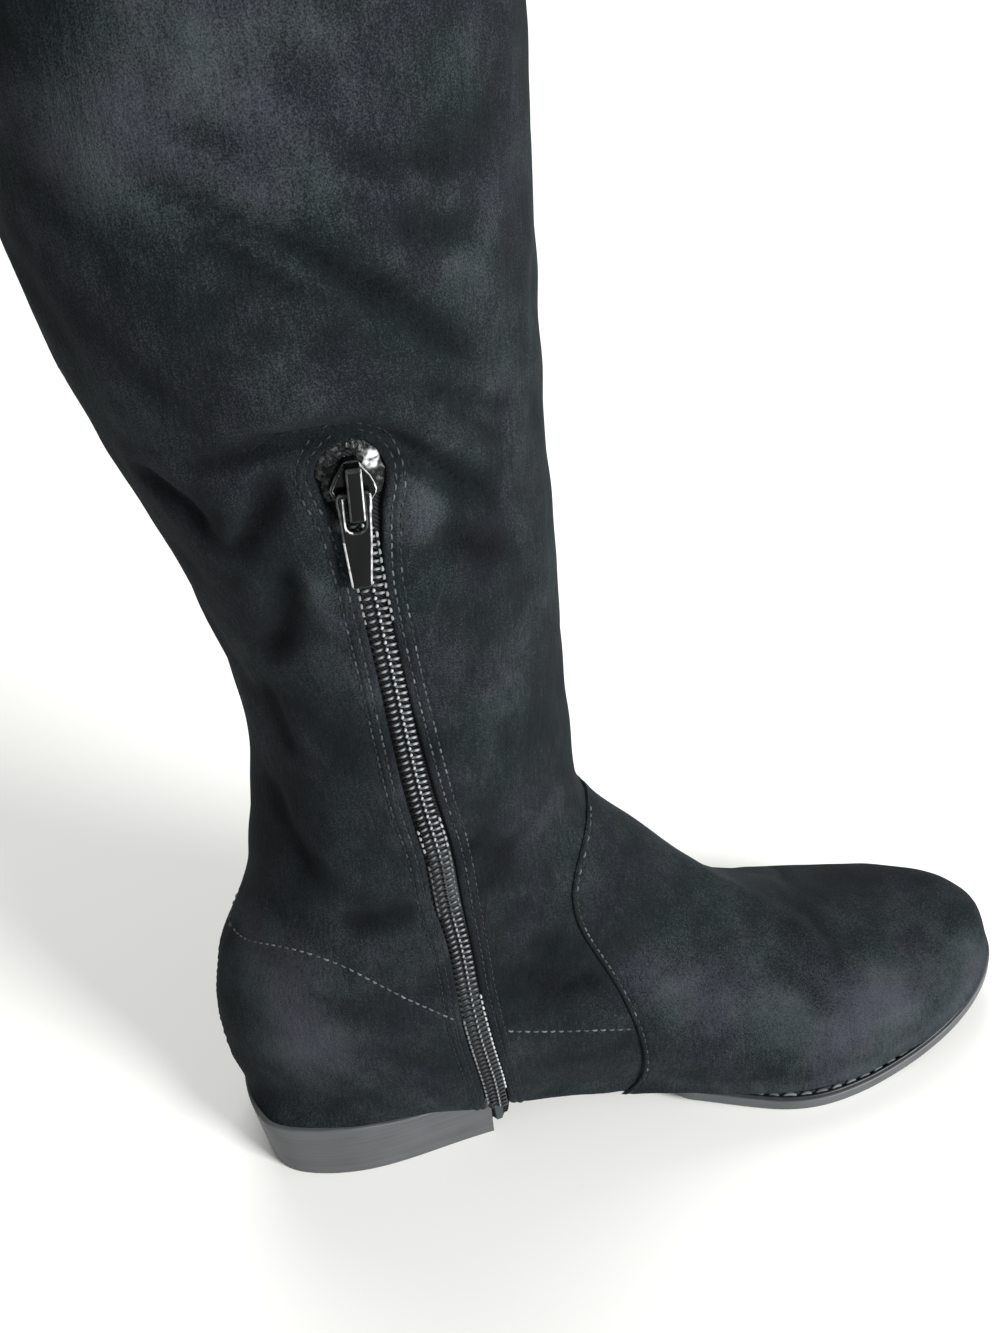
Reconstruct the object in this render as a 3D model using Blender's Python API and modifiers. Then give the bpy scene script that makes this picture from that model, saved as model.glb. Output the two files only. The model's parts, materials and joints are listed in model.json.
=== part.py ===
# Over-the-knee boot for the left foot, with a low block heel and a zip on the inner side.
# X runs from heel to toe, Y to the outer side of the leg and Z up. Sizes are millimetres
# and turn into metres where a mesh is made. The origin is the middle of the heel's tread.

import math
from collections import namedtuple

import bmesh
import bpy
import numpy as np
from mathutils import Matrix, Vector
from mathutils.bvhtree import BVHTree

# Driving dimensions
FOOT_LENGTH = 265.0      # upper, heel to toe
BALL_WIDTH = 91.0        # upper, across the ball
INSTEP_HEIGHT = 81.0     # floor to the front of the instep section
SHAFT_HEIGHT = 590.0     # floor to collar
WALL = 1.8               # stretch suede and its lining
GAP = 0.3                # between pieces that touch
FAR = 300.0              # past the boot on any side, for cutters
PAST = 6.0               # how far a cutter runs past what it cuts

# Sole unit
HEEL_BREAST = 80.0       # heel block ends here, the outsole starts
HEEL_CENTRE = 41.0       # middle of the heel's tread, the part's origin
HEEL_TAPER = 0.965       # tread against seat
OUTSOLE_THICK = 5.5      # at the waist
OUTSOLE_EDGE = 3.9       # at the forefoot, under the welt
WELT_START = 148.0       # the welt runs from here round the toe
WELT_WIDTH = 8.5
WELT_INSET = 0.5         # welt's edge behind the outsole's edge
HEEL_UNDER_TOP = 6.0     # the heel's block before its seat is cut, above the outsole's highest line
SOLE_Z = (-5.0, 45.0)    # the sole pieces lie between these heights
SOLE_AROUND = 96         # points round the sole's outline
LAYER_STEP = 6.5         # between points along the sole's curve
INSOLE_THICK = 2.6
INSOLE_EASE = 1.2        # between the insole and the wall round it

# Vamp, a second layer over the shaft's leather
VAMP_PROUD = 1.0
VAMP_LAP = 0.9           # how deep the layer is joined into the wall
VAMP_FOOT = 0.12         # loft level where the layer starts, just above the feather edge
SEAM_POINTS = 31

# Zip
SLOT_BASE_HALF = 4.0     # half the slot's width along the chain
SLOT_TOP_HALF = 7.4      # half its width beside the slider
SLOT_WIDENS = (228.0, 258.0)
SLOT_ROUND_Z = 267.0     # centre of the slot's round end
SLOT_FOOT_Z = 2.0        # the slot runs out below the feather edge
SLOT_POINTS = 44
SLOT_CUT_Y = (-110.0, -6.0)
TAPE_HALF = 11.0
TAPE_Z = (22.5, 280.0)
TAPE_DEPTH = (2.35, 3.05)    # outer and inner face under the upper's outer face
TAPE_LOOPS = 24
CHAIN_HALF = 3.0
CHAIN_Z = (19.5, 255.8)
CHAIN_DEPTH = (-0.2, 2.0)
CHAIN_CROWN = 0.7
CHAIN_LOOPS = 34
PATCH_HALF = 6.9
PATCH_Z = (258.0, 273.0)
PATCH_DEPTH = (1.6, 2.0)
PATCH_LOOPS = 8
PATCH_CLEAR = 0.5        # between the patch and the slot's edge

# Slider and pull tab, in the slider's own frame: across, along the zip, outwards
SLIDER_X, SLIDER_Z = 66.4, 263.0
SLIDER_LEAN = 2.5        # degrees, top towards the toe
BODY_LOW, BODY_HIGH = -1.3, 1.6
BRIDGE_HALF = 2.3
BRIDGE_LEDGE = 0.4       # the bridge's foot is this much wider on each side
TAB_AXIS_ALONG = -0.8
TAB_AXIS_OUT = 2.95
TAB_THICK = 1.2
WINDOW_HALF = 2.75

# Sections of the foot. Lengths are percent of FOOT_LENGTH, heights of INSTEP_HEIGHT and
# half widths of BALL_WIDTH. "follow" is how much of the sole's own curve a section takes.
Foot = namedtuple("Foot", "name front front_z back back_z heel waist_in waist_out ball_in ball_out follow")
FOOT_ROWS = [
    Foot("feather", 99.6, 22.0, 0.3, 27.5, 35.8, 30.4, 36.0, 50.0, 49.6, 1.00),
    Foot("rand", 100.2, 29.2, -0.2, 35.8, 37.2, 34.3, 38.2, 50.0, 51.2, 0.95),
    Foot("wall", 99.5, 39.8, -0.8, 45.7, 37.6, 38.2, 39.3, 49.1, 50.5, 0.85),
    Foot("crown", 96.0, 46.9, -1.0, 54.3, 38.2, 39.3, 40.3, 45.8, 46.1, 0.70),
    Foot("toe_top", 89.7, 52.4, -1.1, 63.0, 38.2, 40.3, 40.9, 41.3, 41.2, 0.55),
    Foot("vamp_low", 81.4, 59.2, -1.0, 71.6, 38.2, 40.9, 41.4, 36.5, 37.2, 0.40),
    Foot("vamp_mid", 73.1, 67.6, -0.6, 81.5, 38.2, 41.4, 41.4, 32.1, 33.1, 0.28),
    Foot("vamp_high", 65.2, 81.0, 0.3, 92.5, 38.2, 42.0, 42.0, 31.0, 31.6, 0.16),
    Foot("instep", 59.0, 99.8, 1.5, 104.7, 38.1, 42.5, 42.5, 32.1, 32.7, 0.06),
    Foot("bend", 53.3, 120.5, 3.8, 118.0, 37.6, 43.6, 43.6, 34.3, 34.8, 0.0),
    Foot("ankle", 47.6, 145.0, 6.5, 138.8, 36.5, 44.6, 44.6, 37.0, 37.0, 0.0),
    Foot("ankle_top", 46.5, 174.0, 8.2, 166.7, 37.0, 46.2, 46.2, 38.7, 38.7, 0.0),
]

# Level sections of the leg. Heights are percent of SHAFT_HEIGHT.
Leg = namedtuple("Leg", "name front back height heel waist ball")
LEG_ROWS = [
    Leg("shin_low", 46.3, 10.0, 28.6, 40.3, 49.6, 42.5),
    Leg("shin", 46.3, 7.5, 36.9, 46.8, 56.6, 49.0),
    Leg("calf_low", 46.5, 1.8, 45.6, 51.8, 62.1, 55.5),
    Leg("calf", 47.0, -1.6, 54.0, 54.0, 65.4, 58.8),
    Leg("calf_high", 48.1, -1.8, 62.5, 54.5, 65.9, 58.8),
    Leg("knee", 49.1, -1.2, 71.8, 55.5, 67.0, 59.9),
    Leg("thigh", 51.0, -3.1, 84.6, 58.8, 71.9, 63.2),
    Leg("collar", 52.9, -5.7, 100.0, 63.2, 77.4, 68.0),
]

# Where the half widths lie along a section, from its back to its front
STATIONS = (0.0, 0.06, 0.20, 0.45, 0.72, 0.93, 1.0)
LEVEL_STEPS = ((0, 5, 11), (5, 12, 10), (12, 19, 9))   # from row, to row, levels
AROUND = 48
SIDE_LEVELS, SIDE_AROUND = 150, 144      # the fine net that the zip is laid on

# Outsole in plan: half widths to the inner and outer side, mm, and its underside
Sole = namedtuple("Sole", "x inner outer")
SOLE_ROWS = [
    Sole(4.0, 21.0, 20.7),
    Sole(12.0, 28.4, 28.6),
    Sole(35.0, 33.6, 32.8),
    Sole(68.0, 30.4, 35.0),
    Sole(105.0, 29.0, 40.0),
    Sole(150.0, 37.2, 48.0),
    Sole(185.0, 48.6, 49.4),
    Sole(213.0, 45.2, 44.8),
    Sole(238.5, 37.2, 35.0),
    Sole(258.5, 24.6, 20.6),
]
SOLE_BACK = (0.0, 0.0)
SOLE_TIP = (270.0, -3.0)
UNDER_X = (0.0, 35.0, 70.0, 110.0, 150.0, 172.0, 187.0, 203.0, 225.0, 250.0, 268.0)
UNDER_Z = (16.6, 15.9, 13.5, 8.5, 2.5, 0.3, -0.3, -0.3, 2.0, 8.3, 13.2)

# Vamp seam seen from the side: x, z from the instep down to the feather edge
SEAM = ((128.0, 119.0), (116.5, 105.0), (114.2, 92.0), (121.0, 69.5), (130.0, 47.0),
        (132.5, 31.0), (130.0, 4.0))
# Middle of the zip seen from the side: z, x
ZIP_PATH = ((12.0, 82.5), (50.0, 78.5), (90.0, 76.0), (132.0, 74.4), (152.0, 72.0),
            (190.0, 68.6), (230.0, 65.4), (262.0, 66.4), (290.0, 68.0))

COLOURS = {             # linear RGB, roughness, metallic
    "suede": ((0.022, 0.024, 0.028), 0.95, 0.0),
    "sole": ((0.115, 0.118, 0.122), 0.6, 0.0),
    "welt": ((0.010, 0.010, 0.011), 0.55, 0.0),
    "insole": ((0.030, 0.028, 0.027), 0.9, 0.0),
    "tape": ((0.012, 0.012, 0.014), 0.9, 0.0),
    "coil": ((0.020, 0.020, 0.022), 0.35, 0.0),
    "enamel": ((0.012, 0.012, 0.013), 0.2, 0.6),
    "film": ((0.020, 0.022, 0.022), 0.15, 0.0),
}


def start_scene():
    for thing in list(bpy.data.objects):
        bpy.data.objects.remove(thing)
    made = []
    for name in ("over_knee_boot", "cutters"):
        group = bpy.data.collections.new(name)
        bpy.context.scene.collection.children.link(group)
        made.append(group)
    return made


BOOT, CUTTERS = start_scene()


def metres(point):
    return ((point[0] - HEEL_CENTRE) / 1000.0, point[1] / 1000.0, point[2] / 1000.0)


def material(key):
    found = bpy.data.materials.get(key)
    if found:
        return found
    made = bpy.data.materials.new(key)
    made.use_nodes = True
    colour, roughness, metallic = COLOURS[key]
    shader = made.node_tree.nodes["Principled BSDF"]
    shader.inputs["Base Color"].default_value = (*colour, 1.0)
    shader.inputs["Roughness"].default_value = roughness
    shader.inputs["Metallic"].default_value = metallic
    return made


def add_piece(name, mesh, finish=None):
    """A named piece of the boot, or a cutter when it has no finish."""
    piece = bpy.data.objects.new(name, mesh)
    if finish:
        BOOT.objects.link(piece)
        mesh.materials.append(material(finish))
    else:
        CUTTERS.objects.link(piece)
        piece.hide_render = True
        piece.display_type = "WIRE"
    return piece


def boolean(target, other, operation):
    step = target.modifiers.new(operation.lower(), "BOOLEAN")
    step.object = other
    step.operation = operation
    step.solver = "EXACT"


# Curves

def spline(knots, values, at, closed=False):
    """Cubic spline through rows of values, with natural ends unless it is closed."""
    knots = np.asarray(knots, float)
    values = np.asarray(values, float)
    gaps = np.diff(knots)
    slopes = np.diff(values, axis=0) / gaps[:, None]
    count = len(gaps) if closed else len(knots)
    system = np.eye(count)
    right = np.zeros((count, values.shape[1]))
    for row in range(0 if closed else 1, count if closed else count - 1):
        before = gaps[row - 1]
        after = gaps[row]
        system[row, row] = 2.0 * (before + after)
        system[row, (row - 1) % count] += before
        system[row, (row + 1) % count] += after
        right[row] = 6.0 * (slopes[row] - slopes[row - 1])
    bends = np.linalg.solve(system, right)
    if closed:
        bends = np.vstack([bends, bends[:1]])
    span = np.clip(np.searchsorted(knots, at, side="right") - 1, 0, len(gaps) - 1)
    gap = gaps[span][:, None]
    near = ((knots[span + 1] - at)[:, None]) / gap
    far = 1.0 - near
    bend = (near ** 3 - near) * bends[span] + (far ** 3 - far) * bends[span + 1]
    return near * values[span] + far * values[span + 1] + bend * gap ** 2 / 6.0


def through(pairs, at):
    """One smooth value read from a short list of (place, value) pairs."""
    table = np.array(pairs, float)
    return spline(table[:, 0], table[:, 1:], np.atleast_1d(np.asarray(at, float)))[:, 0]


def closed_curve(points, count):
    """Evenly spaced points on a smooth closed curve through the given ones."""
    ring = np.vstack([points, points[:1]])
    steps = np.sqrt(np.linalg.norm(np.diff(ring, axis=0), axis=1))
    knots = np.concatenate([[0.0], np.cumsum(steps)])
    fine = np.linspace(0.0, knots[-1], count * 6 + 1)
    drawn = spline(knots, ring, fine, closed=True)
    lengths = np.concatenate([[0.0], np.cumsum(np.linalg.norm(np.diff(drawn, axis=0), axis=1))])
    even = np.interp(np.linspace(0.0, lengths[-1], count + 1)[:-1], lengths, fine)
    return spline(knots, ring, even, closed=True)


def inset(loop, distance):
    """A closed plan outline moved inwards."""
    along = np.roll(loop, -1, axis=0) - np.roll(loop, 1, axis=0)
    along /= np.linalg.norm(along, axis=1)[:, None]
    inward = np.column_stack([-along[:, 1], along[:, 0]])
    return loop + inward * distance


def under(x):
    """Height of the outsole's underside, flat on the floor under the ball."""
    x = np.clip(np.atleast_1d(np.asarray(x, float)), UNDER_X[0], UNDER_X[-1])
    curve = spline(UNDER_X, np.array(UNDER_Z)[:, None], x)[:, 0]
    return np.maximum(curve, 0.0)


def feather(x):
    """Height of the upper's lower edge."""
    return under(x) + OUTSOLE_THICK + GAP


def sole_outline(count):
    inner = [(row.x, -row.inner) for row in SOLE_ROWS]
    outer = [(row.x, row.outer) for row in reversed(SOLE_ROWS)]
    return closed_curve(np.array([SOLE_BACK, *inner, SOLE_TIP, *outer]), count)


# Upper

def section_table():
    rows = []
    for row in FOOT_ROWS:
        lengths = np.array([row.front, row.back]) * FOOT_LENGTH / 100.0
        heights = np.array([row.front_z, row.back_z]) * INSTEP_HEIGHT / 100.0
        halves = np.array([row.heel, row.waist_in, row.waist_out, row.ball_in, row.ball_out])
        rows.append([*lengths, *heights, *(halves * BALL_WIDTH / 100.0), row.follow])
    for row in LEG_ROWS:
        lengths = np.array([row.front, row.back]) * FOOT_LENGTH / 100.0
        height = row.height * SHAFT_HEIGHT / 100.0
        halves = np.array([row.heel, row.waist, row.waist, row.ball, row.ball])
        rows.append([*lengths, height, height, *(halves * BALL_WIDTH / 100.0), 0.0])
    return np.array(rows)


def upper_loops(levels, around):
    """Closed sections of the upper's outer face, from the feather edge to the collar."""
    table = section_table()
    base_front, base_back, base_front_z, base_back_z = table[0, :4]
    loops = []
    for row in spline(np.arange(len(table)), table, np.asarray(levels, float)):
        front, back, front_z, back_z, heel, waist_in, waist_out, ball_in, ball_out, follow = row
        length = front - back
        slim = np.clip((back_z - 60.0) / 70.0, 0.0, 1.0)      # foot 0, leg 1
        heel_round = 0.64 - 0.09 * slim
        toe_round = 0.60 - 0.08 * slim
        inner = [0.0, heel * heel_round, heel, waist_in, ball_in, ball_in * toe_round, 0.0]
        outer = [0.0, heel * heel_round, heel, waist_out, ball_out, ball_out * toe_round, 0.0]
        xs = [back + station * length for station in STATIONS]
        ring = [(x, -half) for x, half in zip(xs, inner)]
        ring += [(x, half) for x, half in zip(xs[-2:0:-1], outer[-2:0:-1])]
        plan = closed_curve(np.array(ring), around)
        share = (plan[:, 0] - back) / length
        z = back_z + (front_z - back_z) * share
        base = np.clip((plan[:, 0] - base_back) / (base_front - base_back), 0.0, 1.0)
        z += follow * (feather(plan[:, 0]) - (base_back_z + (base_front_z - base_back_z) * base))
        loops.append(np.column_stack([plan, z]))
    return loops


def loft_levels(start=0.0):
    levels = [start]
    for first, last, count in LEVEL_STEPS:
        levels += list(np.linspace(max(first, start), last, count + 1)[1:])
    return levels


# Meshes

def loft(name, loops, finish=None, caps=True):
    """Closed loops of equal count joined in order, with flat ends if it has caps."""
    mesh = bpy.data.meshes.new(name)
    build = bmesh.new()
    rings = [[build.verts.new(metres(point)) for point in loop] for loop in loops]
    for low, high in zip(rings, rings[1:]):
        for at in range(len(low)):
            after = (at + 1) % len(low)
            build.faces.new((low[at], low[after], high[after], high[at]))
    if caps:
        build.faces.new(rings[0])
        build.faces.new(rings[-1])
        bmesh.ops.recalc_face_normals(build, faces=build.faces)
    build.to_mesh(mesh)
    build.free()
    mesh.shade_smooth()
    mesh.set_sharp_from_angle(angle=math.radians(35.0))
    return add_piece(name, mesh, finish)


def plan_prism(name, outline, low, high, finish=None):
    """An outline in plan, extruded upwards."""
    return loft(name, [[(x, y, z) for x, y in outline] for z in (low, high)], finish)


def side_prism(name, outline, near, far):
    """An outline seen from the side, extruded across the boot."""
    return loft(name, [[(x, y, z) for x, z in outline] for y in (near, far)])


def layer(name, first, last, low, high):
    """A slab that follows the sole from x first to last, low and high above its underside."""
    xs = np.linspace(first, last, int((last - first) / LAYER_STEP) + 2)
    floor = under(xs)
    outline = list(zip(xs, floor + low)) + list(zip(xs[::-1], floor[::-1] + high))
    return side_prism(name, outline, -FAR, FAR)


# Sole unit

def make_heel():
    outline = sole_outline(SOLE_AROUND)
    breast_in = through([(row.x, row.inner) for row in SOLE_ROWS], HEEL_BREAST)[0]
    breast_out = through([(row.x, row.outer) for row in SOLE_ROWS], HEEL_BREAST)[0]
    half = len(outline) // 2
    outer = [tuple(point) for point in outline[half:] if point[0] < HEEL_BREAST - 1.0]
    inner = [tuple(point) for point in outline[:half] if point[0] < HEEL_BREAST - 1.0]
    seat = [(HEEL_BREAST, breast_out), *outer, *inner, (HEEL_BREAST, -breast_in)]
    tread = [(HEEL_BREAST - (HEEL_BREAST - x) * HEEL_TAPER, y * HEEL_TAPER) for x, y in seat]
    top = max(UNDER_Z) + OUTSOLE_THICK + HEEL_UNDER_TOP
    loops = [[(x, y, 0.0) for x, y in tread], [(x, y, top) for x, y in seat]]
    heel = loft("heel", loops, "sole")
    above = layer("heel_seat", -PAST, HEEL_BREAST + PAST, OUTSOLE_THICK, FAR)
    boolean(heel, above, "DIFFERENCE")
    return heel


def sole_ring(name, width_from, width_to, low, high, start, finish=None):
    """The strip between two insets of the sole's edge, from start round the toe."""
    ring = plan_prism(name, inset(sole_outline(SOLE_AROUND), width_from), *SOLE_Z, finish)
    middle = inset(sole_outline(SOLE_AROUND), width_to)
    hole = plan_prism(name + "_hole", middle, SOLE_Z[0] - PAST, SOLE_Z[1] + PAST)
    boolean(ring, hole, "DIFFERENCE")
    boolean(ring, layer(name + "_layer", start, FAR, low, high), "INTERSECT")
    return ring


def make_outsole():
    outsole = plan_prism("outsole", sole_outline(SOLE_AROUND), *SOLE_Z, "sole")
    boolean(outsole, layer("sole_layer", HEEL_BREAST + GAP, FAR, 0.0, OUTSOLE_THICK), "INTERSECT")
    rebate_width = WELT_INSET + WELT_WIDTH + GAP
    rebate = sole_ring("rebate", -PAST, rebate_width, OUTSOLE_EDGE, FAR, WELT_START - GAP)
    boolean(outsole, rebate, "DIFFERENCE")
    return outsole


def make_welt():
    low = OUTSOLE_EDGE + GAP
    return sole_ring("welt", WELT_INSET, WELT_INSET + WELT_WIDTH, low, OUTSOLE_THICK, WELT_START, "welt")


def make_insole():
    edge = upper_loops([0.0], SOLE_AROUND)[0][:, :2]
    insole = plan_prism("insole", inset(edge, WALL + INSOLE_EASE), *SOLE_Z, "insole")
    low = OUTSOLE_THICK + GAP
    boolean(insole, layer("insole_layer", -PAST, FAR, low, low + INSOLE_THICK), "INTERSECT")
    return insole


def zip_middle(z):
    return through(ZIP_PATH, z)


def slot_half(z):
    first, last = SLOT_WIDENS
    share = np.clip((np.asarray(z) - first) / (last - first), 0.0, 1.0)
    return SLOT_BASE_HALF + (SLOT_TOP_HALF - SLOT_BASE_HALF) * share ** 2 * (3.0 - 2.0 * share)


def slot_outline():
    zs = np.linspace(SLOT_FOOT_Z, SLOT_ROUND_Z, SLOT_POINTS)
    middle = zip_middle(zs)
    half = slot_half(zs)
    turn = np.radians(np.linspace(15.0, 165.0, 9))
    end = zip_middle(SLOT_ROUND_Z)[0]
    arc = [(end + SLOT_TOP_HALF * math.cos(a), SLOT_ROUND_Z + SLOT_TOP_HALF * math.sin(a)) for a in turn]
    right = list(zip(middle + half, zs))
    left = list(zip(middle - half, zs))[::-1]
    return right + arc + left


def make_upper():
    upper = loft("upper", upper_loops(loft_levels(), AROUND), "suede", caps=False)
    shell = upper.modifiers.new("wall", "SOLIDIFY")
    shell.thickness = WALL / 1000.0
    shell.offset = -1.0
    shell.use_even_offset = True

    vamp = loft("vamp_layer", upper_loops(loft_levels(VAMP_FOOT), AROUND), caps=False)
    thick = VAMP_PROUD + VAMP_LAP
    skin = vamp.modifiers.new("layer", "SOLIDIFY")
    skin.thickness = thick / 1000.0
    skin.offset = 2.0 * VAMP_PROUD / thick - 1.0
    skin.use_even_offset = True
    line = spline(np.arange(len(SEAM)), SEAM, np.linspace(0.0, len(SEAM) - 1.0, SEAM_POINTS))
    ahead = [(FAR, SEAM[-1][1]), (FAR, SEAM[0][1])]
    boolean(vamp, side_prism("seam_cutter", [*line, *ahead], -FAR, FAR), "INTERSECT")

    boolean(upper, vamp, "UNION")
    boolean(upper, side_prism("zip_slot", slot_outline(), *SLOT_CUT_Y), "DIFFERENCE")
    return upper


# Zip

def inner_side():
    """The upper's outer face as a fine net, for laying the zip on it."""
    levels = np.linspace(0.0, len(FOOT_ROWS) + len(LEG_ROWS) - 1.0, SIDE_LEVELS)
    loops = upper_loops(levels, SIDE_AROUND)
    points = [Vector(point) for loop in loops for point in loop]
    faces = []
    for ring in range(len(loops) - 1):
        for at in range(SIDE_AROUND):
            after = (at + 1) % SIDE_AROUND
            low, high = ring * SIDE_AROUND, (ring + 1) * SIDE_AROUND
            faces.append((low + at, low + after, high + after, high + at))
    return BVHTree.FromPolygons(points, faces)


def on_side(net, x, z):
    """The point of the inner side at x, z, and the way out of the boot there."""
    place, normal, face, distance = net.ray_cast(Vector((x, -FAR, z)), Vector((0.0, 1.0, 0.0)))
    if normal.y > 0.0:
        normal = -normal
    return place, normal


def side_strip(name, net, zs, halves, depths, finish, crown=0.0):
    """A strip laid along the zip's path. Its edges lie deeper by the crown."""
    outer_depth, inner_depth = depths
    across = np.linspace(-1.0, 1.0, 5)
    loops = []
    for z, half in zip(zs, halves):
        middle = zip_middle(z)[0]
        hits = [on_side(net, middle + half * share, z) for share in across]
        out = [p - n * (outer_depth + crown * share ** 2) for (p, n), share in zip(hits, across)]
        back = [p - n * inner_depth for p, n in hits]
        loops.append(out + back[::-1])
    return loft(name, loops, finish)


def make_zip_strips(net):
    tape_z = np.linspace(*TAPE_Z, TAPE_LOOPS)
    side_strip("zip_tape", net, tape_z, [TAPE_HALF] * TAPE_LOOPS, TAPE_DEPTH, "tape")
    chain_z = np.linspace(*CHAIN_Z, CHAIN_LOOPS)
    side_strip("zip_chain", net, chain_z, [CHAIN_HALF] * CHAIN_LOOPS, CHAIN_DEPTH, "coil", CHAIN_CROWN)
    patch_z = np.linspace(*PATCH_Z, PATCH_LOOPS)
    rise = np.clip((patch_z - SLOT_ROUND_Z) / SLOT_TOP_HALF, 0.0, 1.0)
    halves = np.minimum(PATCH_HALF, slot_half(patch_z) - PATCH_CLEAR) * np.sqrt(1.0 - rise ** 2)
    side_strip("zip_end_patch", net, patch_z, halves, PATCH_DEPTH, "film")


def slider_frame(net):
    """Matrix from the slider's own millimetres to the world."""
    place, out = on_side(net, SLIDER_X, SLIDER_Z)
    lean = math.radians(SLIDER_LEAN)
    up = Vector((math.sin(lean), 0.0, math.cos(lean)))
    up = (up - out * up.dot(out)).normalized()
    across = up.cross(out)
    turn = Matrix((across, up, out)).transposed().to_4x4()
    return Matrix.Translation(metres(place)) @ turn @ Matrix.Scale(0.001, 4)


def shape(name, outline, low, high, frame, finish=None, along=False):
    """An outline in the slider's frame, extruded outwards, or across it if along is set."""
    mesh = bpy.data.meshes.new(name)
    build = bmesh.new()
    if along:
        ring = [build.verts.new((low, v, w)) for v, w in outline]
        shift = (high - low, 0.0, 0.0)
    else:
        ring = [build.verts.new((u, v, low)) for u, v in outline]
        shift = (0.0, 0.0, high - low)
    face = build.faces.new(ring)
    moved = bmesh.ops.extrude_face_region(build, geom=[face])["geom"]
    verts = [item for item in moved if isinstance(item, bmesh.types.BMVert)]
    bmesh.ops.translate(build, verts=verts, vec=shift)
    bmesh.ops.recalc_face_normals(build, faces=build.faces)
    build.to_mesh(mesh)
    build.free()
    mesh.transform(frame)
    return add_piece(name, mesh, finish)


def mirrored(half):
    """A closed outline from its right half, top to bottom."""
    return half + [(-u, v) for u, v in reversed(half) if u > 0.0]


def make_slider(frame):
    body_half = [(1.6, 7.8), (2.6, 7.2), (5.0, 2.2), (5.5, 0.4), (5.2, -1.2), (4.3, -3.4), (4.1, -6.5)]
    body = shape("zip_slider", mirrored(body_half), BODY_LOW, BODY_HIGH, frame, "enamel")
    bridge = [(-7.4, 1.0), (-7.4, 4.6), (-6.8, 5.2), (6.3, 5.2), (7.0, 4.6), (7.0, 1.0),
              (5.9, 1.0), (5.9, 4.2), (-6.2, 4.2), (-6.2, 1.0)]
    foot = [(-7.4, 0.4), (-7.4, 1.3), (-6.0, 1.3), (-6.0, 0.4)]
    strap = shape("bridge", bridge, -BRIDGE_HALF, BRIDGE_HALF, frame, along=True)
    wide = BRIDGE_HALF + BRIDGE_LEDGE
    ledge = shape("bridge_foot", foot, -wide, wide, frame, along=True)
    boolean(body, ledge, "UNION")
    boolean(body, strap, "UNION")
    return body


def make_pull(frame):
    """The pull tab. It hangs from the bar that turns under the slider's bridge."""
    tab_half = [(3.2, 0.75), (4.1, 0.1), (4.3, -1.2), (4.1, -4.0), (3.75, -9.5), (3.6, -12.5),
                (2.6, -25.2), (2.2, -26.1)]
    window = [(WINDOW_HALF, -0.75), (WINDOW_HALF, -8.2), (2.1, -9.6), (1.0, -10.3)]
    half_thick = TAB_THICK / 2.0
    hinge = frame @ Matrix.Translation((0.0, TAB_AXIS_ALONG, TAB_AXIS_OUT))
    pull = shape("zip_pull", mirrored(tab_half), -half_thick, half_thick, hinge, "enamel")
    hole = shape("pull_window", mirrored(window), -TAB_THICK, TAB_THICK, hinge)
    boolean(pull, hole, "DIFFERENCE")
    axis = bpy.data.objects.new("pull_hinge", None)
    BOOT.objects.link(axis)
    axis.location = hinge.translation
    pull.data.transform(Matrix.Translation(-hinge.translation))
    pull.parent = axis
    hole.data.transform(Matrix.Translation(-hinge.translation))
    hole.parent = axis
    return pull


make_upper()
make_insole()
make_outsole()
make_heel()
make_welt()
side_net = inner_side()
make_zip_strips(side_net)
slider = slider_frame(side_net)
make_slider(slider)
make_pull(slider)
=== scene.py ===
import json
import math

import bpy
import numpy as np
from mathutils import Matrix, Vector, noise


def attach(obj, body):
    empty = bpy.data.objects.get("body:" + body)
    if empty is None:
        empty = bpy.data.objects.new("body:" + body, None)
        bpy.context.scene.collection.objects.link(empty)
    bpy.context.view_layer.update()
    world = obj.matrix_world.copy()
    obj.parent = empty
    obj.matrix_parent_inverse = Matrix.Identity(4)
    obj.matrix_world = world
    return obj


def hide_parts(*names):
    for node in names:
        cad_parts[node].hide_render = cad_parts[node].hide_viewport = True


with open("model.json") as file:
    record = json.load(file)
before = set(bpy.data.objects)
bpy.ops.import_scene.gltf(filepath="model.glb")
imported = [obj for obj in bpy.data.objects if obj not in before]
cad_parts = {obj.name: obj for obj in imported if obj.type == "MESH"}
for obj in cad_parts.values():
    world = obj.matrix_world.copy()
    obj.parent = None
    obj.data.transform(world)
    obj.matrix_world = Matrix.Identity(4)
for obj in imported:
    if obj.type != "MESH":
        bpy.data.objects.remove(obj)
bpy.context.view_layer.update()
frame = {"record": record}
print("frame loaded")

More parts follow.
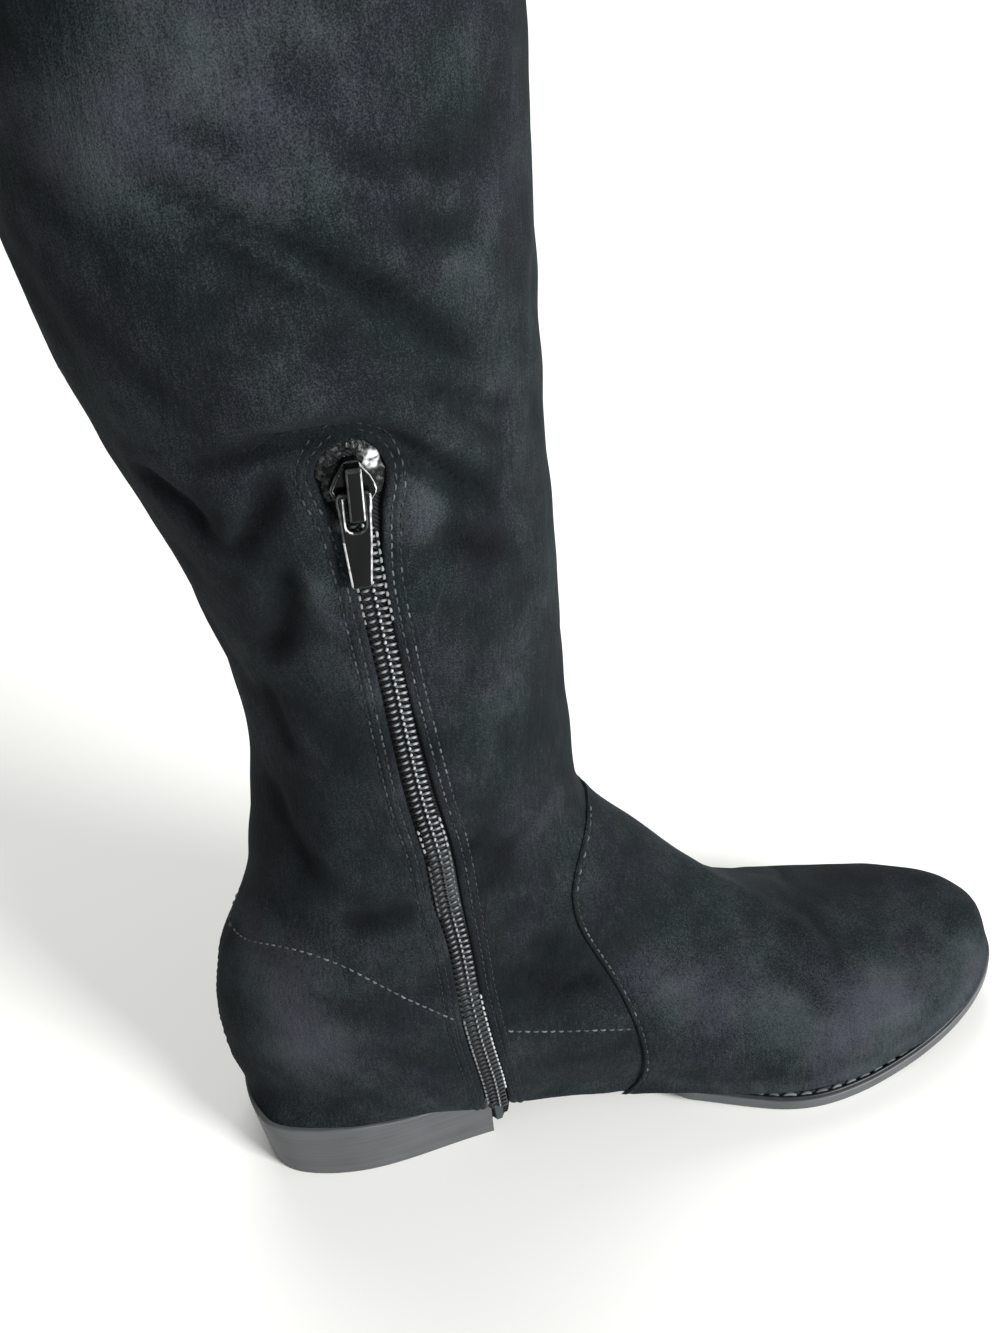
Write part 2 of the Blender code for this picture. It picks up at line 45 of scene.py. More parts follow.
boot = {      # its own sizes in mm, from the back of the heel, as its solids have them
    "footLength": 265.0, "ballWidth": 91.0, "instepHeight": 81.0, "shaftHeight": 590.0,
    "wall": 1.8, "gap": 0.3, "outsole": 5.5,
    "heelCentre": 41.0,      # the frame's origin, along the foot
    "heelBreast": 80.0, "heelTaper": 0.965,
    # sections of the foot, in per cent: front, back, front's and back's height, half widths
    # at heel, waist and ball on the inner and outer side, and how far it follows the sole
    "footRows": [
        (99.6, 0.3, 22.0, 27.5, 35.8, 30.4, 36.0, 50.0, 49.6, 1.00),
        (100.2, -0.2, 29.2, 35.8, 37.2, 34.3, 38.2, 50.0, 51.2, 0.95),
        (99.5, -0.8, 39.8, 45.7, 37.6, 38.2, 39.3, 49.1, 50.5, 0.85),
        (96.0, -1.0, 46.9, 54.3, 38.2, 39.3, 40.3, 45.8, 46.1, 0.70),
        (89.7, -1.1, 52.4, 63.0, 38.2, 40.3, 40.9, 41.3, 41.2, 0.55),
        (81.4, -1.0, 59.2, 71.6, 38.2, 40.9, 41.4, 36.5, 37.2, 0.40),
        (73.1, -0.6, 67.6, 81.5, 38.2, 41.4, 41.4, 32.1, 33.1, 0.28),
        (65.2, 0.3, 81.0, 92.5, 38.2, 42.0, 42.0, 31.0, 31.6, 0.16),
        (59.0, 1.5, 99.8, 104.7, 38.1, 42.5, 42.5, 32.1, 32.7, 0.06),
        (53.3, 3.8, 120.5, 118.0, 37.6, 43.6, 43.6, 34.3, 34.8, 0.0),
        (47.6, 6.5, 145.0, 138.8, 36.5, 44.6, 44.6, 37.0, 37.0, 0.0),
        (46.5, 8.2, 174.0, 166.7, 37.0, 46.2, 46.2, 38.7, 38.7, 0.0),
    ],
    # of the leg: front, back, height, half widths at heel, waist and ball
    "legRows": [
        (46.3, 10.0, 28.6, 40.3, 49.6, 42.5), (46.3, 7.5, 36.9, 46.8, 56.6, 49.0),
        (46.5, 1.8, 45.6, 51.8, 62.1, 55.5), (47.0, -1.6, 54.0, 54.0, 65.4, 58.8),
        (48.1, -1.8, 62.5, 54.5, 65.9, 58.8), (49.1, -1.2, 71.8, 55.5, 67.0, 59.9),
        (51.0, -3.1, 84.6, 58.8, 71.9, 63.2), (52.9, -5.7, 100.0, 63.2, 77.4, 68.0),
    ],
    "stations": (0.0, 0.06, 0.20, 0.45, 0.72, 0.93, 1.0),      # along a section
    "legFrom": 60.0, "legOver": 70.0,      # heights over which foot sections turn into leg sections
    "heelRound": (0.64, 0.09), "toeRound": (0.60, 0.08),      # of a foot, and less for a leg
    # the sole: x, half width on the inner side, half width on the outer side
    "soleRows": [
        (4.0, 21.0, 20.7), (12.0, 28.4, 28.6), (35.0, 33.6, 32.8), (68.0, 30.4, 35.0),
        (105.0, 29.0, 40.0), (150.0, 37.2, 48.0), (185.0, 48.6, 49.4), (213.0, 45.2, 44.8),
        (238.5, 37.2, 35.0), (258.5, 24.6, 20.6),
    ],
    "soleSteps": 260, "soleBack": (0.0, 0.0), "soleTip": (270.0, -3.0),
    "lastedIn": (1.1, 1.8),      # the upper's lower edge: how far, and over what height
    "under": [(0.0, 16.6), (35.0, 15.9), (70.0, 13.5), (110.0, 8.5), (150.0, 2.5), (172.0, 0.3),
              (187.0, -0.3), (203.0, -0.3), (225.0, 2.0), (250.0, 8.3), (268.0, 13.2)],      # x, z
}


# curves

def easeIn(value, start=0.0, over=1.0):      # 0 up to the start, then gently up to 1
    value = np.clip((value - start) / over, 0.0, 1.0)
    return value * value * (3.0 - 2.0 * value)


def bell(value, width, middle=0.0):
    return np.exp(-((value - middle) / width) ** 2)


def unit(ways):
    return ways / np.linalg.norm(ways, axis=-1)[..., None]


def runAlong(line):      # the length up to each point of a line
    return np.concatenate([[0.0], np.cumsum(np.linalg.norm(np.diff(line, axis=0), axis=1))])


def readLine(line, run, at):      # places on a line by the length along it
    return np.stack([np.interp(at, run, field) for field in line.T], axis=-1)


def readTable(pairs, at):      # a value from a short list of (place, value), straight between them
    return np.interp(at, *np.array(pairs).T)


def splineThrough(knots, values, at, closed=False):
    knots, values = np.asarray(knots, float), np.asarray(values, float)
    gaps = np.diff(knots)
    slopes = np.diff(values, axis=0) / gaps[:, None]
    count = len(gaps) if closed else len(knots)
    system, right = np.eye(count), np.zeros((count, values.shape[1]))
    for row in range(0 if closed else 1, count if closed else count - 1):
        system[row, row] = 2.0 * (gaps[row - 1] + gaps[row])
        system[row, (row - 1) % count] += gaps[row - 1]
        system[row, (row + 1) % count] += gaps[row]
        right[row] = 6.0 * (slopes[row] - slopes[row - 1])
    bends = np.linalg.solve(system, right)
    if closed:
        bends = np.vstack([bends, bends[:1]])
    span = np.clip(np.searchsorted(knots, at, side="right") - 1, 0, len(gaps) - 1)
    gap = gaps[span][:, None]
    near = (knots[span + 1] - at)[:, None] / gap
    far = 1.0 - near
    bend = (near ** 3 - near) * bends[span] + (far ** 3 - far) * bends[span + 1]
    return near * values[span] + far * values[span + 1] + bend * gap ** 2 / 6.0


def readCurve(pairs, at):      # as readTable, but smooth
    table = np.array(pairs, float)
    at = np.clip(np.atleast_1d(np.asarray(at, float)), table[0, 0], table[-1, 0])
    return splineThrough(table[:, 0], table[:, 1:], at)[:, 0]


def smoothCurve(points, count=0, step=0.0):      # this many points round a ring, or a step apart on a line
    closed = count > 0
    line = np.vstack([points, points[:1]]) if closed else np.asarray(points, float)
    knots = np.concatenate([[0.0], np.cumsum(np.sqrt(np.linalg.norm(np.diff(line, axis=0), axis=1)))])
    fine = np.linspace(0.0, knots[-1], 6 * count + 1 if closed else 40 * len(line))
    run = runAlong(splineThrough(knots, line, fine, closed))
    parts = count or max(int(round(run[-1] / step)), 2)
    marks = np.linspace(0.0, run[-1], parts + 1)[:-1 if closed else None]
    return splineThrough(knots, line, np.interp(marks, run, fine), closed)


def underSole(x):
    return np.maximum(readCurve(boot["under"], x), 0.0)


def featherLine(x):
    return underSole(x) + boot["outsole"] + boot["gap"]


def soleRing():      # the sole's outline, seen from above, starting at the heel's back
    inner = [(x, -half) for x, half, other in boot["soleRows"]]
    outer = [(x, half) for x, other, half in reversed(boot["soleRows"])]
    return smoothCurve(np.array([boot["soleBack"], *inner, boot["soleTip"], *outer]), boot["soleSteps"])


def ringOut(ring):      # the way outwards at each of its points
    along = unit(np.roll(ring, -1, axis=0) - np.roll(ring, 1, axis=0))
    return np.column_stack([along[:, 1], -along[:, 0]])


def insetRing(ring, distance):
    return ring - ringOut(ring) * distance


# The last is one fine net of points on the upper's outer face. Its rows go from the feather
# edge up, its columns from the heel's back round the inner side.

netRows, netColumns = 420, 480
netHalf = netColumns // 2


def sectionTable():
    def scaled(rows, height):
        return rows * ([boot["footLength"]] * 2 + [height] * 2 + [boot["ballWidth"]] * 5) / 100.0
    foot, leg = np.array(boot["footRows"]), np.array(boot["legRows"])[:, [0, 1, 2, 2, 3, 4, 4, 5, 5]]
    return np.vstack([np.column_stack([scaled(foot[:, :9], boot["instepHeight"]), foot[:, 9]]),
                      np.column_stack([scaled(leg, boot["shaftHeight"]), np.zeros(len(leg))])])


def lastNet():
    table = sectionTable()
    baseFront, baseBack, baseFrontZ, baseBackZ = table[0, :4]
    grid = []
    for row in splineThrough(np.arange(len(table)), table, np.linspace(0.0, len(table) - 1.0, netRows)):
        front, back, frontZ, backZ, heel, waistIn, waistOut, ballIn, ballOut, follow = row
        length = front - back
        slim = np.clip((backZ - boot["legFrom"]) / boot["legOver"], 0.0, 1.0)
        heelRound, toeRound = (foot - less * slim for foot, less in (boot["heelRound"], boot["toeRound"]))
        inner = [0.0, heel * heelRound, heel, waistIn, ballIn, ballIn * toeRound, 0.0]
        outer = [0.0, heel * heelRound, heel, waistOut, ballOut, ballOut * toeRound, 0.0]
        xs = [back + station * length for station in boot["stations"]]
        ring = [(x, -half) for x, half in zip(xs, inner)]
        ring += [(x, half) for x, half in zip(xs[-2:0:-1], outer[-2:0:-1])]
        plan = smoothCurve(np.array(ring), netColumns)
        z = backZ + (frontZ - backZ) * (plan[:, 0] - back) / length
        base = np.clip((plan[:, 0] - baseBack) / (baseFront - baseBack), 0.0, 1.0)
        z = z + follow * (featherLine(plan[:, 0]) - (baseBackZ + (baseFrontZ - baseBackZ) * base))
        grid.append(np.column_stack([plan, z]))
    return np.array(grid)


net = lastNet()
netOut = unit(np.cross(np.roll(net, -1, axis=1) - np.roll(net, 1, axis=1), np.gradient(net, axis=0)))


def readNet(grid, row, column):      # blends between the net's points
    row = np.clip(row, 0.0, netRows - 1.001)
    low, up = np.floor(row).astype(int), (row % 1.0)[..., None]
    left, turn = np.floor(column).astype(int), (column % 1.0)[..., None]
    a, b = left % netColumns, (left + 1) % netColumns
    below = grid[low, a] * (1 - turn) + grid[low, b] * turn
    above = grid[low + 1, a] * (1 - turn) + grid[low + 1, b] * turn
    return below * (1 - up) + above * up


def onNet(row, column):      # places on the last, and the way out there
    return readNet(net, row, column), unit(readNet(netOut, row, column))


def sideTable(columns):      # z and column of each net row, at every millimetre of x
    xs = np.arange(-20.0, 275.0)
    rings = net[:, columns % netColumns]
    zs = np.array([np.interp(xs, ring[:, 0], ring[:, 2]) for ring in rings])
    return xs, zs, np.array([np.interp(xs, ring[:, 0], columns) for ring in rings])


innerColumns, outerColumns = np.arange(netHalf + 1), np.arange(netColumns, netHalf - 1, -1)      # heel to toe
sides = {"inner": sideTable(innerColumns), "outer": sideTable(outerColumns)}


def onLast(x, z, side="inner"):      # as onNet, for places seen from the side
    xs, zs, columns = sides[side]
    found = []
    for px, pz in zip(np.atleast_1d(x), np.atleast_1d(z)):
        at = int(px - xs[0])
        share = px - xs[at]
        row = np.interp(pz, zs[:, at] * (1 - share) + zs[:, at + 1] * share, np.arange(netRows))
        column = np.interp(row, np.arange(netRows), columns[:, at] * (1 - share) + columns[:, at + 1] * share)
        found.append((row, column))
    return onNet(*np.array(found).T)


def toLine(points, line):      # distance to a line of points, and the share along it
    a, step = line[:-1], np.diff(line, axis=0)
    lengths = np.linalg.norm(step, axis=1)
    run = runAlong(line)
    away, share = np.empty(len(points)), np.empty(len(points))
    for first in range(0, len(points), 4000):
        part = points[first:first + 4000, None, :] - a[None]
        t = np.clip((part * step).sum(2) / lengths ** 2, 0.0, 1.0)
        gaps = np.linalg.norm(part - t[:, :, None] * step, axis=2)
        pick = gaps.argmin(1)
        row = np.arange(len(pick))
        away[first:first + 4000] = gaps[row, pick]
        share[first:first + 4000] = (run[pick] + t[row, pick] * lengths[pick]) / run[-1]
    return away, share


print("last worked out")


# making pieces

mm = 0.001


def pickOnly(piece):
    bpy.ops.object.select_all(action="DESELECT")
    piece.select_set(True)
    bpy.context.view_layer.objects.active = piece


def editMesh(piece, *steps):      # mesh operators, each run on the whole of it
    pickOnly(piece)
    bpy.ops.object.mode_set(mode="EDIT")
    for name, settings in steps:
        bpy.ops.mesh.select_all(action="SELECT")
        getattr(bpy.ops.mesh, name)(**settings)
    bpy.ops.object.mode_set(mode="OBJECT")
    return piece


facesOut = ("normals_make_consistent", {"inside": False})


def markMesh(piece, name, values, domain="POINT"):      # an attribute for its finish to read
    piece.data.attributes.new(name, "FLOAT", domain).data.foreach_set("value", values)
    return piece


def toFrame(points):      # the boot's millimetres to the frame's metres
    return (np.asarray(points, float) - (boot["heelCentre"], 0.0, 0.0)) * mm


def layMesh(points, faces, kinds=None):
    mesh = bpy.data.meshes.new("piece")
    mesh.from_pydata(toFrame(points).tolist(), [], [list(face) for face in faces])
    if kinds is not None:
        mesh.polygons.foreach_set("material_index", kinds)
    piece = bpy.data.objects.new("piece", mesh)
    bpy.context.collection.objects.link(piece)
    return piece


def gridFaces(index):      # four-sided faces of a grid of point numbers
    quads = np.stack([index[:-1, :-1], index[:-1, 1:], index[1:, 1:], index[1:, :-1]], axis=-1)
    return quads.reshape(-1, 4)


def ringFaces(rows, count):      # of closed rings joined in order
    index = np.arange(rows * count).reshape(rows, count)
    return gridFaces(np.hstack([index, index[:, :1]])).tolist()


def shellMesh(base, out, lift, inside, openRows):      # a sheet at each height, and the edges between them
    outer, inner = base + out * lift[..., None], base + out * inside[..., None]
    rows, columns = outer.shape[:2]
    front = np.arange(rows * columns).reshape(rows, columns)
    back = front + rows * columns
    parts = [gridFaces(front), gridFaces(back[:, ::-1]),
             gridFaces(np.stack([back[0], front[0]])), gridFaces(np.stack([front[-1], back[-1]])),
             gridFaces(np.stack([back[:openRows, 0], front[:openRows, 0]], axis=1)),
             gridFaces(np.stack([front[:openRows, -1], back[:openRows, -1]], axis=1))]
    kinds = np.concatenate([np.full(len(part), 1 if at == 1 else 0) for at, part in enumerate(parts)])
    points = np.concatenate([outer.reshape(-1, 3), inner.reshape(-1, 3)])
    piece = layMesh(points, np.concatenate(parts), kinds.astype(np.int32))
    return editMesh(piece, ("remove_doubles", {"threshold": 0.00001}))


# The zip's opening on the inner side, from the sole up, in the same millimetres.

zipOpening = {
    "middle": [(12.0, 83.2), (29.0, 81.5), (50.0, 79.0), (70.0, 77.5), (86.0, 77.1), (98.0, 76.6),
               (107.0, 75.8), (122.0, 74.8), (134.0, 74.3), (152.0, 72.1), (179.0, 69.5), (192.0, 68.6),
               (205.0, 67.8), (216.0, 67.1), (224.0, 66.7), (233.0, 66.3), (250.0, 66.2), (257.0, 66.1),
               (266.0, 65.7), (290.0, 66.6)],      # z, x
    "half": [(10.0, 4.1), (60.0, 4.2), (80.0, 3.7), (100.0, 3.8), (119.0, 4.5), (150.0, 4.5),
             (165.0, 4.3), (182.0, 4.0), (196.0, 3.6), (210.0, 3.4), (233.0, 3.5), (243.0, 4.2),
             (250.0, 4.9), (256.0, 5.9), (261.0, 7.7), (265.8, 8.7)],      # z, width either side
    "topHalf": 8.7, "roundZ": 265.8,
    "foldedEdge": 1.3,       # radius of the turned edge
    "edgeDrop": 1.0,
    "stitchRows": (2.2, 4.5),      # from the edge
    "groove": 0.26, "grooveWidth": 0.5,
    "pad": (0.35, 1.1, 3.3),      # between the rows: height, half width, from the edge
    "reach": (74.0, 36.0, 300.0),      # all of it lies this near to an x, and below a z
}


def zipX(z):
    return readCurve(zipOpening["middle"], z)


def intoRound(z):      # share of the way up the round end
    return (z - zipOpening["roundZ"]) / zipOpening["topHalf"]


def openingHalf(z):
    z = np.asarray(z, float)
    top = zipOpening["topHalf"] * np.sqrt(1.0 - np.clip(intoRound(z), 0.0, 1.0) ** 2)
    return np.where(z > zipOpening["roundZ"], top, readTable(zipOpening["half"], z))


def roundOpening(offset, lowZ, step=2.0):      # side-view line round the opening, offset from its edge
    zs = np.arange(lowZ, zipOpening["roundZ"], step)
    radius = zipOpening["topHalf"] + offset
    turn = np.radians(np.linspace(0.0, 180.0, 21))
    endX = zipX(zipOpening["roundZ"])[0]
    arc = np.column_stack([endX + radius * np.cos(turn), zipOpening["roundZ"] + radius * np.sin(turn)])
    ahead = np.column_stack([zipX(zs) + openingHalf(zs) + offset, zs])
    behind = np.column_stack([zipX(zs) - openingHalf(zs) - offset, zs])[::-1]
    return np.vstack([ahead, arc, behind])


# Creases of a worn boot: height (a trough is negative), half width, then x and z of each
# place along it. They are soft, and fade at their ends.

creases = {
    "inner": [
        # over the end of the zip and beside the slider
        (1.7, 6.0, 34, 280, 48, 284.5, 62, 286, 76, 281.5, 88, 271, 100, 257),
        (-2.2, 3.0, 22, 270, 36, 273, 50, 277.5, 62, 278.5, 72, 275, 82, 267, 93, 255, 108, 237),
        (-1.7, 3.8, 70, 276, 78, 270, 86, 262, 95, 251.5, 103, 243),
        (0.9, 5.0, 78, 264, 80, 252, 78, 240),
        (0.8, 4.5, 53, 266, 52, 252, 54, 232),
        # the long fold above it
        (-1.7, 2.2, 22, 343, 34, 338.5, 44, 332.5, 53, 327, 61, 322, 71, 314, 80, 306),
        (-2.1, 3.6, 66, 318, 74, 311.5, 83, 304, 89, 297, 95, 290, 101, 282),
        (0.9, 2.2, 39, 332, 49, 326, 58, 319, 67, 312, 76, 303),
        (-1.3, 2.2, 36, 331, 45, 324.5, 54, 317, 63, 309),
        (1.2, 5.5, 34, 346, 50, 338, 66, 328, 80, 317, 92, 303, 101, 291),
        (0.8, 5.5, 48, 313, 62, 305, 78, 293, 90, 283),
        (-1.2, 4.6, 80, 323, 92, 318, 105, 313),
        (-1.0, 3.2, 38, 351, 46, 346, 52, 342, 59, 338),
        (-0.9, 3.4, 68, 338, 79, 336, 91, 334, 106, 330),
        # shin
        (-0.9, 2.6, 79, 287, 94, 278, 111, 265),
        (0.7, 3.4, 82, 291, 98, 283, 114, 272),
        (-0.7, 2.3, 87, 279, 97, 269, 108, 258),
        # calf
        (-1.9, 3.6, 14, 267, 22, 262, 27, 256, 29, 245),
        (1.0, 4.0, 36, 268, 37, 257, 33, 246),
        (-2.0, 3.6, 50, 273, 46, 264, 41, 255, 33, 244),
        (-1.9, 4.0, 48, 247, 45, 233, 42, 220, 35, 209),
        (0.7, 2.6, 50, 246, 53, 232, 57, 216),
        (-1.5, 4.6, 82, 246, 90, 240, 99, 233, 109, 227),
        # ankle and quarter
        (-1.15, 3.8, 33, 201, 37, 187, 39, 169),
        (-1.25, 4.8, 30, 162, 33, 144, 39, 120),
        (0.7, 6.0, 44, 170, 46, 152, 44, 136),
        (-1.0, 5.0, 81, 140, 89, 131, 98, 123),
        (-1.0, 4.6, 40, 111, 54, 115, 68, 117),
        (-0.7, 4.5, 96, 89, 103, 85, 111, 80),
        (0.6, 3.0, 88, 60, 104, 57, 122, 52),
        (-0.9, 3.0, 104, 63, 113, 64, 124, 60),
        # vamp
        (0.9, 4.5, 150, 88, 166, 69.5, 184, 55, 199, 45, 210, 35),
        (-0.7, 6.0, 176, 50, 190, 40, 198, 30),
        (-0.45, 3.0, 196, 51, 204, 42, 206, 32),
    ],
    "outer": [
        (-1.7, 5.0, 20, 352, 40, 343, 62, 329, 84, 312, 100, 292),
        (1.1, 7.0, 24, 361, 46, 353, 70, 339, 92, 319),
        (-1.9, 4.6, 16, 290, 34, 288, 54, 280, 74, 266, 96, 246),
        (1.2, 6.5, 20, 300, 42, 297, 64, 287, 88, 268),
        (-1.0, 6.0, 78, 250, 92, 240, 106, 226),
        (-1.3, 4.4, 24, 214, 36, 208, 52, 196, 66, 180),
        (0.8, 5.5, 26, 222, 42, 215, 60, 201),
        (-1.1, 4.6, 28, 168, 36, 154, 38, 136),
        (-0.7, 4.5, 104, 118, 94, 128, 80, 134),
        (-0.45, 3.0, 196, 50, 202, 40, 200, 28),
        (-0.6, 6.0, 176, 48, 184, 38, 188, 26),
    ],
}

creaseSoft = {
    "depth": 1.45,           # scales them all
    "fade": 0.28,            # share of a crease over which its ends fade
    "calm": 0.35,            # of the ripples that stays on the foot
    "calmFrom": (60.0, 120.0),      # height, and over how much
    "sway": 0.45,            # slow swells of the whole leg
    "ripples": 14, "rippleLength": (11.0, 26.0), "rippleHeight": (0.05, 0.11),
}


def makeRipples():      # small soft waves of worn cloth: direction, shift and height of each
    count = creaseSoft["ripples"]
    random = np.random.default_rng(7)
    ways = unit(random.normal(size=(count, 3)))
    ways *= 2.0 * math.pi / random.uniform(*creaseSoft["rippleLength"], (count, 1))
    shifts = random.uniform(0.0, 2.0 * math.pi, count)
    return ways, shifts, random.uniform(*creaseSoft["rippleHeight"], count)


rippleWays, rippleShifts, rippleHeights = makeRipples()

# The vamp is a second layer. Its back edge runs from the instep down to the sole.
vamp = {
    "seam": [(7.5, 110.0), (10.5, 120.0), (12.0, 125.0), (13.6, 128.2), (16.5, 130.6), (23.0, 131.7),
             (31.0, 131.6), (47.0, 129.2), (69.5, 121.0), (92.0, 114.2), (105.0, 116.5),
             (119.0, 128.0)],      # z, x
    "proud": 1.0,
    "shoulder": 0.9,         # radius of its folded edge
    "under": 0.2,            # the folded edge starts this far below the layer under it
    "stitchIn": 1.5, "groove": 0.28, "grooveWidth": 0.5,
    "tuck": 0.4,             # its underside lies this far inside the layer below
    "least": 0.05,           # thickness
    "rows": 104, "columns": 150, "samples": 240,
    "lowRows": (0.0, 0.4, 0.9, 1.5, 2.3),      # above the lower edge
    "edges": (0.0, 0.15, 0.4, 0.8, 1.1, 1.5, 1.9, 2.4, 3.2, 4.4),
}

lowerEdge = {      # of the upper, by place along the foot
    "reach": [(0.0, 16.0), (220.0, 16.0), (240.0, 19.0), (270.0, 19.0)],      # the shift starts this high
    # how far it stays inside the sole's outline, and how far down it comes
    "inside": [(0.0, 0.6), (40.0, 0.5), (60.0, -0.35), (150.0, -0.1), (158.0, 0.0), (163.0, 1.0),
               (170.0, 1.9), (176.0, 2.3), (182.0, 2.7), (190.0, 3.0), (200.0, 2.7), (206.0, 2.2),
               (218.0, 2.1), (224.0, 1.6), (230.0, 1.2), (237.0, 1.0), (270.0, 0.8)],
    "down": [(0.0, 0.2), (60.0, 0.4), (70.0, 3.2), (80.0, 6.5), (95.0, 6.2), (117.0, 5.6), (131.0, 4.0),
             (142.0, 2.9), (149.0, 1.8), (156.0, 1.1), (164.0, 0.8), (170.0, 0.4), (176.0, 0.0),
             (226.0, 0.0), (234.0, 0.5), (250.0, 0.5), (270.0, 0.2)],
}
outline = soleRing()
outlineOut = ringOut(outline)


def drawnDown(points):      # the shift of the upper's lower edge, out and down over the sole
    shift = np.zeros((len(points), 3))
    height = points[:, 2] - featherLine(points[:, 0])
    reach, inside, down = (readTable(table, points[:, 0]) for table in lowerEdge.values())
    near = np.nonzero(height < reach)[0]
    if len(near):
        part = points[near]
        pick = np.linalg.norm(part[:, None, :2] - outline[None], axis=2).argmin(1)
        way = outlineOut[pick]
        room = ((outline[pick] - part[:, :2]) * way).sum(1)
        fade = (1.0 - np.clip(height[near] / reach[near], 0.0, 1.0)) ** 2
        shift[near, :2] = way * (np.maximum(room - inside[near], 0.0) * fade)[:, None]
        shift[near, 2] = -down[near] * fade
    return shift


def seamColumn(ring, columns):      # where a section crosses the vamp's edge, going from heel to toe
    points = ring[columns % netColumns]
    ahead = points[:, 0] - readCurve(vamp["seam"], points[:, 2])
    last = np.nonzero(ahead <= 0.0)[0][-1]
    if last + 1 >= len(columns):
        return float(columns[-1])
    share = -ahead[last] / (ahead[last + 1] - ahead[last])
    return columns[last] + (columns[last + 1] - columns[last]) * share


def vampEdges():      # net rows that the vamp crosses, with its first and last column in each
    rows = []
    for at, ring in enumerate(net):
        near, far = seamColumn(ring, innerColumns), seamColumn(ring, outerColumns)
        if far - near < 0.5:
            break
        rows.append((at, near, far))
    return np.array(rows)


vampRows = vampEdges()
innerSeam, outerSeam = (readNet(net, vampRows[:, 0], vampRows[:, item]) for item in (1, 2))
seamWay = np.vstack([innerSeam[::3], outerSeam[::-3]])
openingWay = onLast(*roundOpening(0.0, 15.0).T)[0]
creaseWays = []
for side, rows in creases.items():
    for height, width, *places in rows:
        line = smoothCurve(np.reshape(places, (-1, 2)), step=5.0)
        creaseWays.append((onLast(*line.T, side)[0], height, width))


def creaseLift(points):      # how far the creases raise the upper at points of the last
    lift = np.zeros(len(points))
    for way, height, width in creaseWays:
        low, high = way.min(0) - 3.0 * width, way.max(0) + 3.0 * width
        near = np.nonzero(((points > low) & (points < high)).all(1))[0]
        if len(near):
            away, share = toLine(points[near], way)
            fade = easeIn(share, 0.0, creaseSoft["fade"]) * easeIn(1.0 - share, 0.0, creaseSoft["fade"])
            lift[near] += creaseSoft["depth"] * height * fade * bell(away, width)
    x, y, z = points.T
    calm = easeIn(z, *creaseSoft["calmFrom"])
    sway = np.sin(x / 19.0 + z / 37.0) * np.sin(y / 23.0 - z / 29.0 + 0.6)
    ripples = (rippleHeights * np.sin(points @ rippleWays.T + rippleShifts)).sum(1)
    ripples = (creaseSoft["calm"] + (1.0 - creaseSoft["calm"]) * calm) * ripples
    return lift + ripples + calm * creaseSoft["sway"] * sway


def openingLift(points):      # the turned edge of the zip's opening and the rows sewn beside it
    v = zipOpening
    lift = np.zeros(len(points))
    middle, reach, top = v["reach"]
    near = np.nonzero((points[:, 1] < 0.0) & (points[:, 2] < top) & (abs(points[:, 0] - middle) < reach))[0]
    if len(near):
        away = toLine(points[near], openingWay)[0]
        lift[near] -= roundedOff(away / v["foldedEdge"]) * v["edgeDrop"]
        for row in v["stitchRows"]:
            lift[near] -= v["groove"] * bell(away, v["grooveWidth"], row)
        lift[near] += v["pad"][0] * bell(away, *v["pad"][1:])
    return lift


def roundedOff(share):      # 1 at an edge, on a quarter circle to 0 where the share is 1
    return 1.0 - np.sqrt(1.0 - np.clip(1.0 - share, 0.0, 1.0) ** 2)


shaft = {
    "columns": 168,
    # columns beside the zip's opening, from its edge
    "edges": (0.0, 0.25, 0.55, 0.95, 1.4, 1.8, 2.2, 2.6, 3.2, 3.9, 4.3, 4.7, 5.2, 6.2, 7.8),
    "lowRows": (0.0, 0.4, 0.9, 1.5, 2.3, 3.3),      # above the lower edge
    "footStep": 2.0,         # between rows, measured up the zip
    "calfStep": 2.7, "calfTop": 374.0, "thighStep": 6.0,
    "hemRows": (12.0, 9.0, 7.8, 7.0, 6.2, 5.0, 3.5, 2.4, 1.5, 0.9, 0.45, 0.15, 0.0),      # below the collar
    "hemStitch": 7.0, "hemGroove": 0.25, "hemGrooveWidth": 0.7, "hemEdge": 0.9,
    "vampDent": 0.3, "vampDentWidth": 1.4, "vampHigh": 125.0,      # along the vamp's edge
    "backGroove": 0.3, "backGrooveWidth": 0.7,      # the back seam
    "backPad": (0.25, 1.1, 2.2),      # beside it: height, half width, place
    "backReach": (15.0, 5.0),      # all of it lies behind this x, and this near to the middle
}


def shaftLift(points):
    lift = creaseLift(points) + openingLift(points)
    near = np.nonzero(points[:, 2] < shaft["vampHigh"])[0]
    lift[near] -= shaft["vampDent"] * bell(toLine(points[near], seamWay)[0], shaft["vampDentWidth"])
    behind, aside = shaft["backReach"]
    back = np.nonzero((points[:, 0] < behind) & (abs(points[:, 1]) < aside))[0]
    lift[back] -= shaft["backGroove"] * bell(points[back, 1], shaft["backGrooveWidth"])
    height, width, place = shaft["backPad"]
    lift[back] += height * bell(abs(points[back, 1]), width, place)
    return lift


def vampLift(points, away):
    shoulder = (1.0 - roundedOff(away / vamp["shoulder"])) * (vamp["proud"] + vamp["under"]) - vamp["under"]
    return creaseLift(points) + shoulder - vamp["groove"] * bell(away, vamp["grooveWidth"], vamp["stitchIn"])


def tuckUnder(feet):      # the lower edge is lasted in under the foot
    depth, over = boot["lastedIn"]
    return -depth * np.clip(1.0 - feet / over, 0.0, 1.0)[:, None] ** 2


def clothOn(rows, columns):      # cloth on the last: flat list, places, ways out, and the folds' lift
    base, out = onNet(rows, columns)
    flat = base.reshape(-1, 3)
    return flat, base + drawnDown(flat).reshape(base.shape), out, creaseLift(flat).reshape(rows.shape)


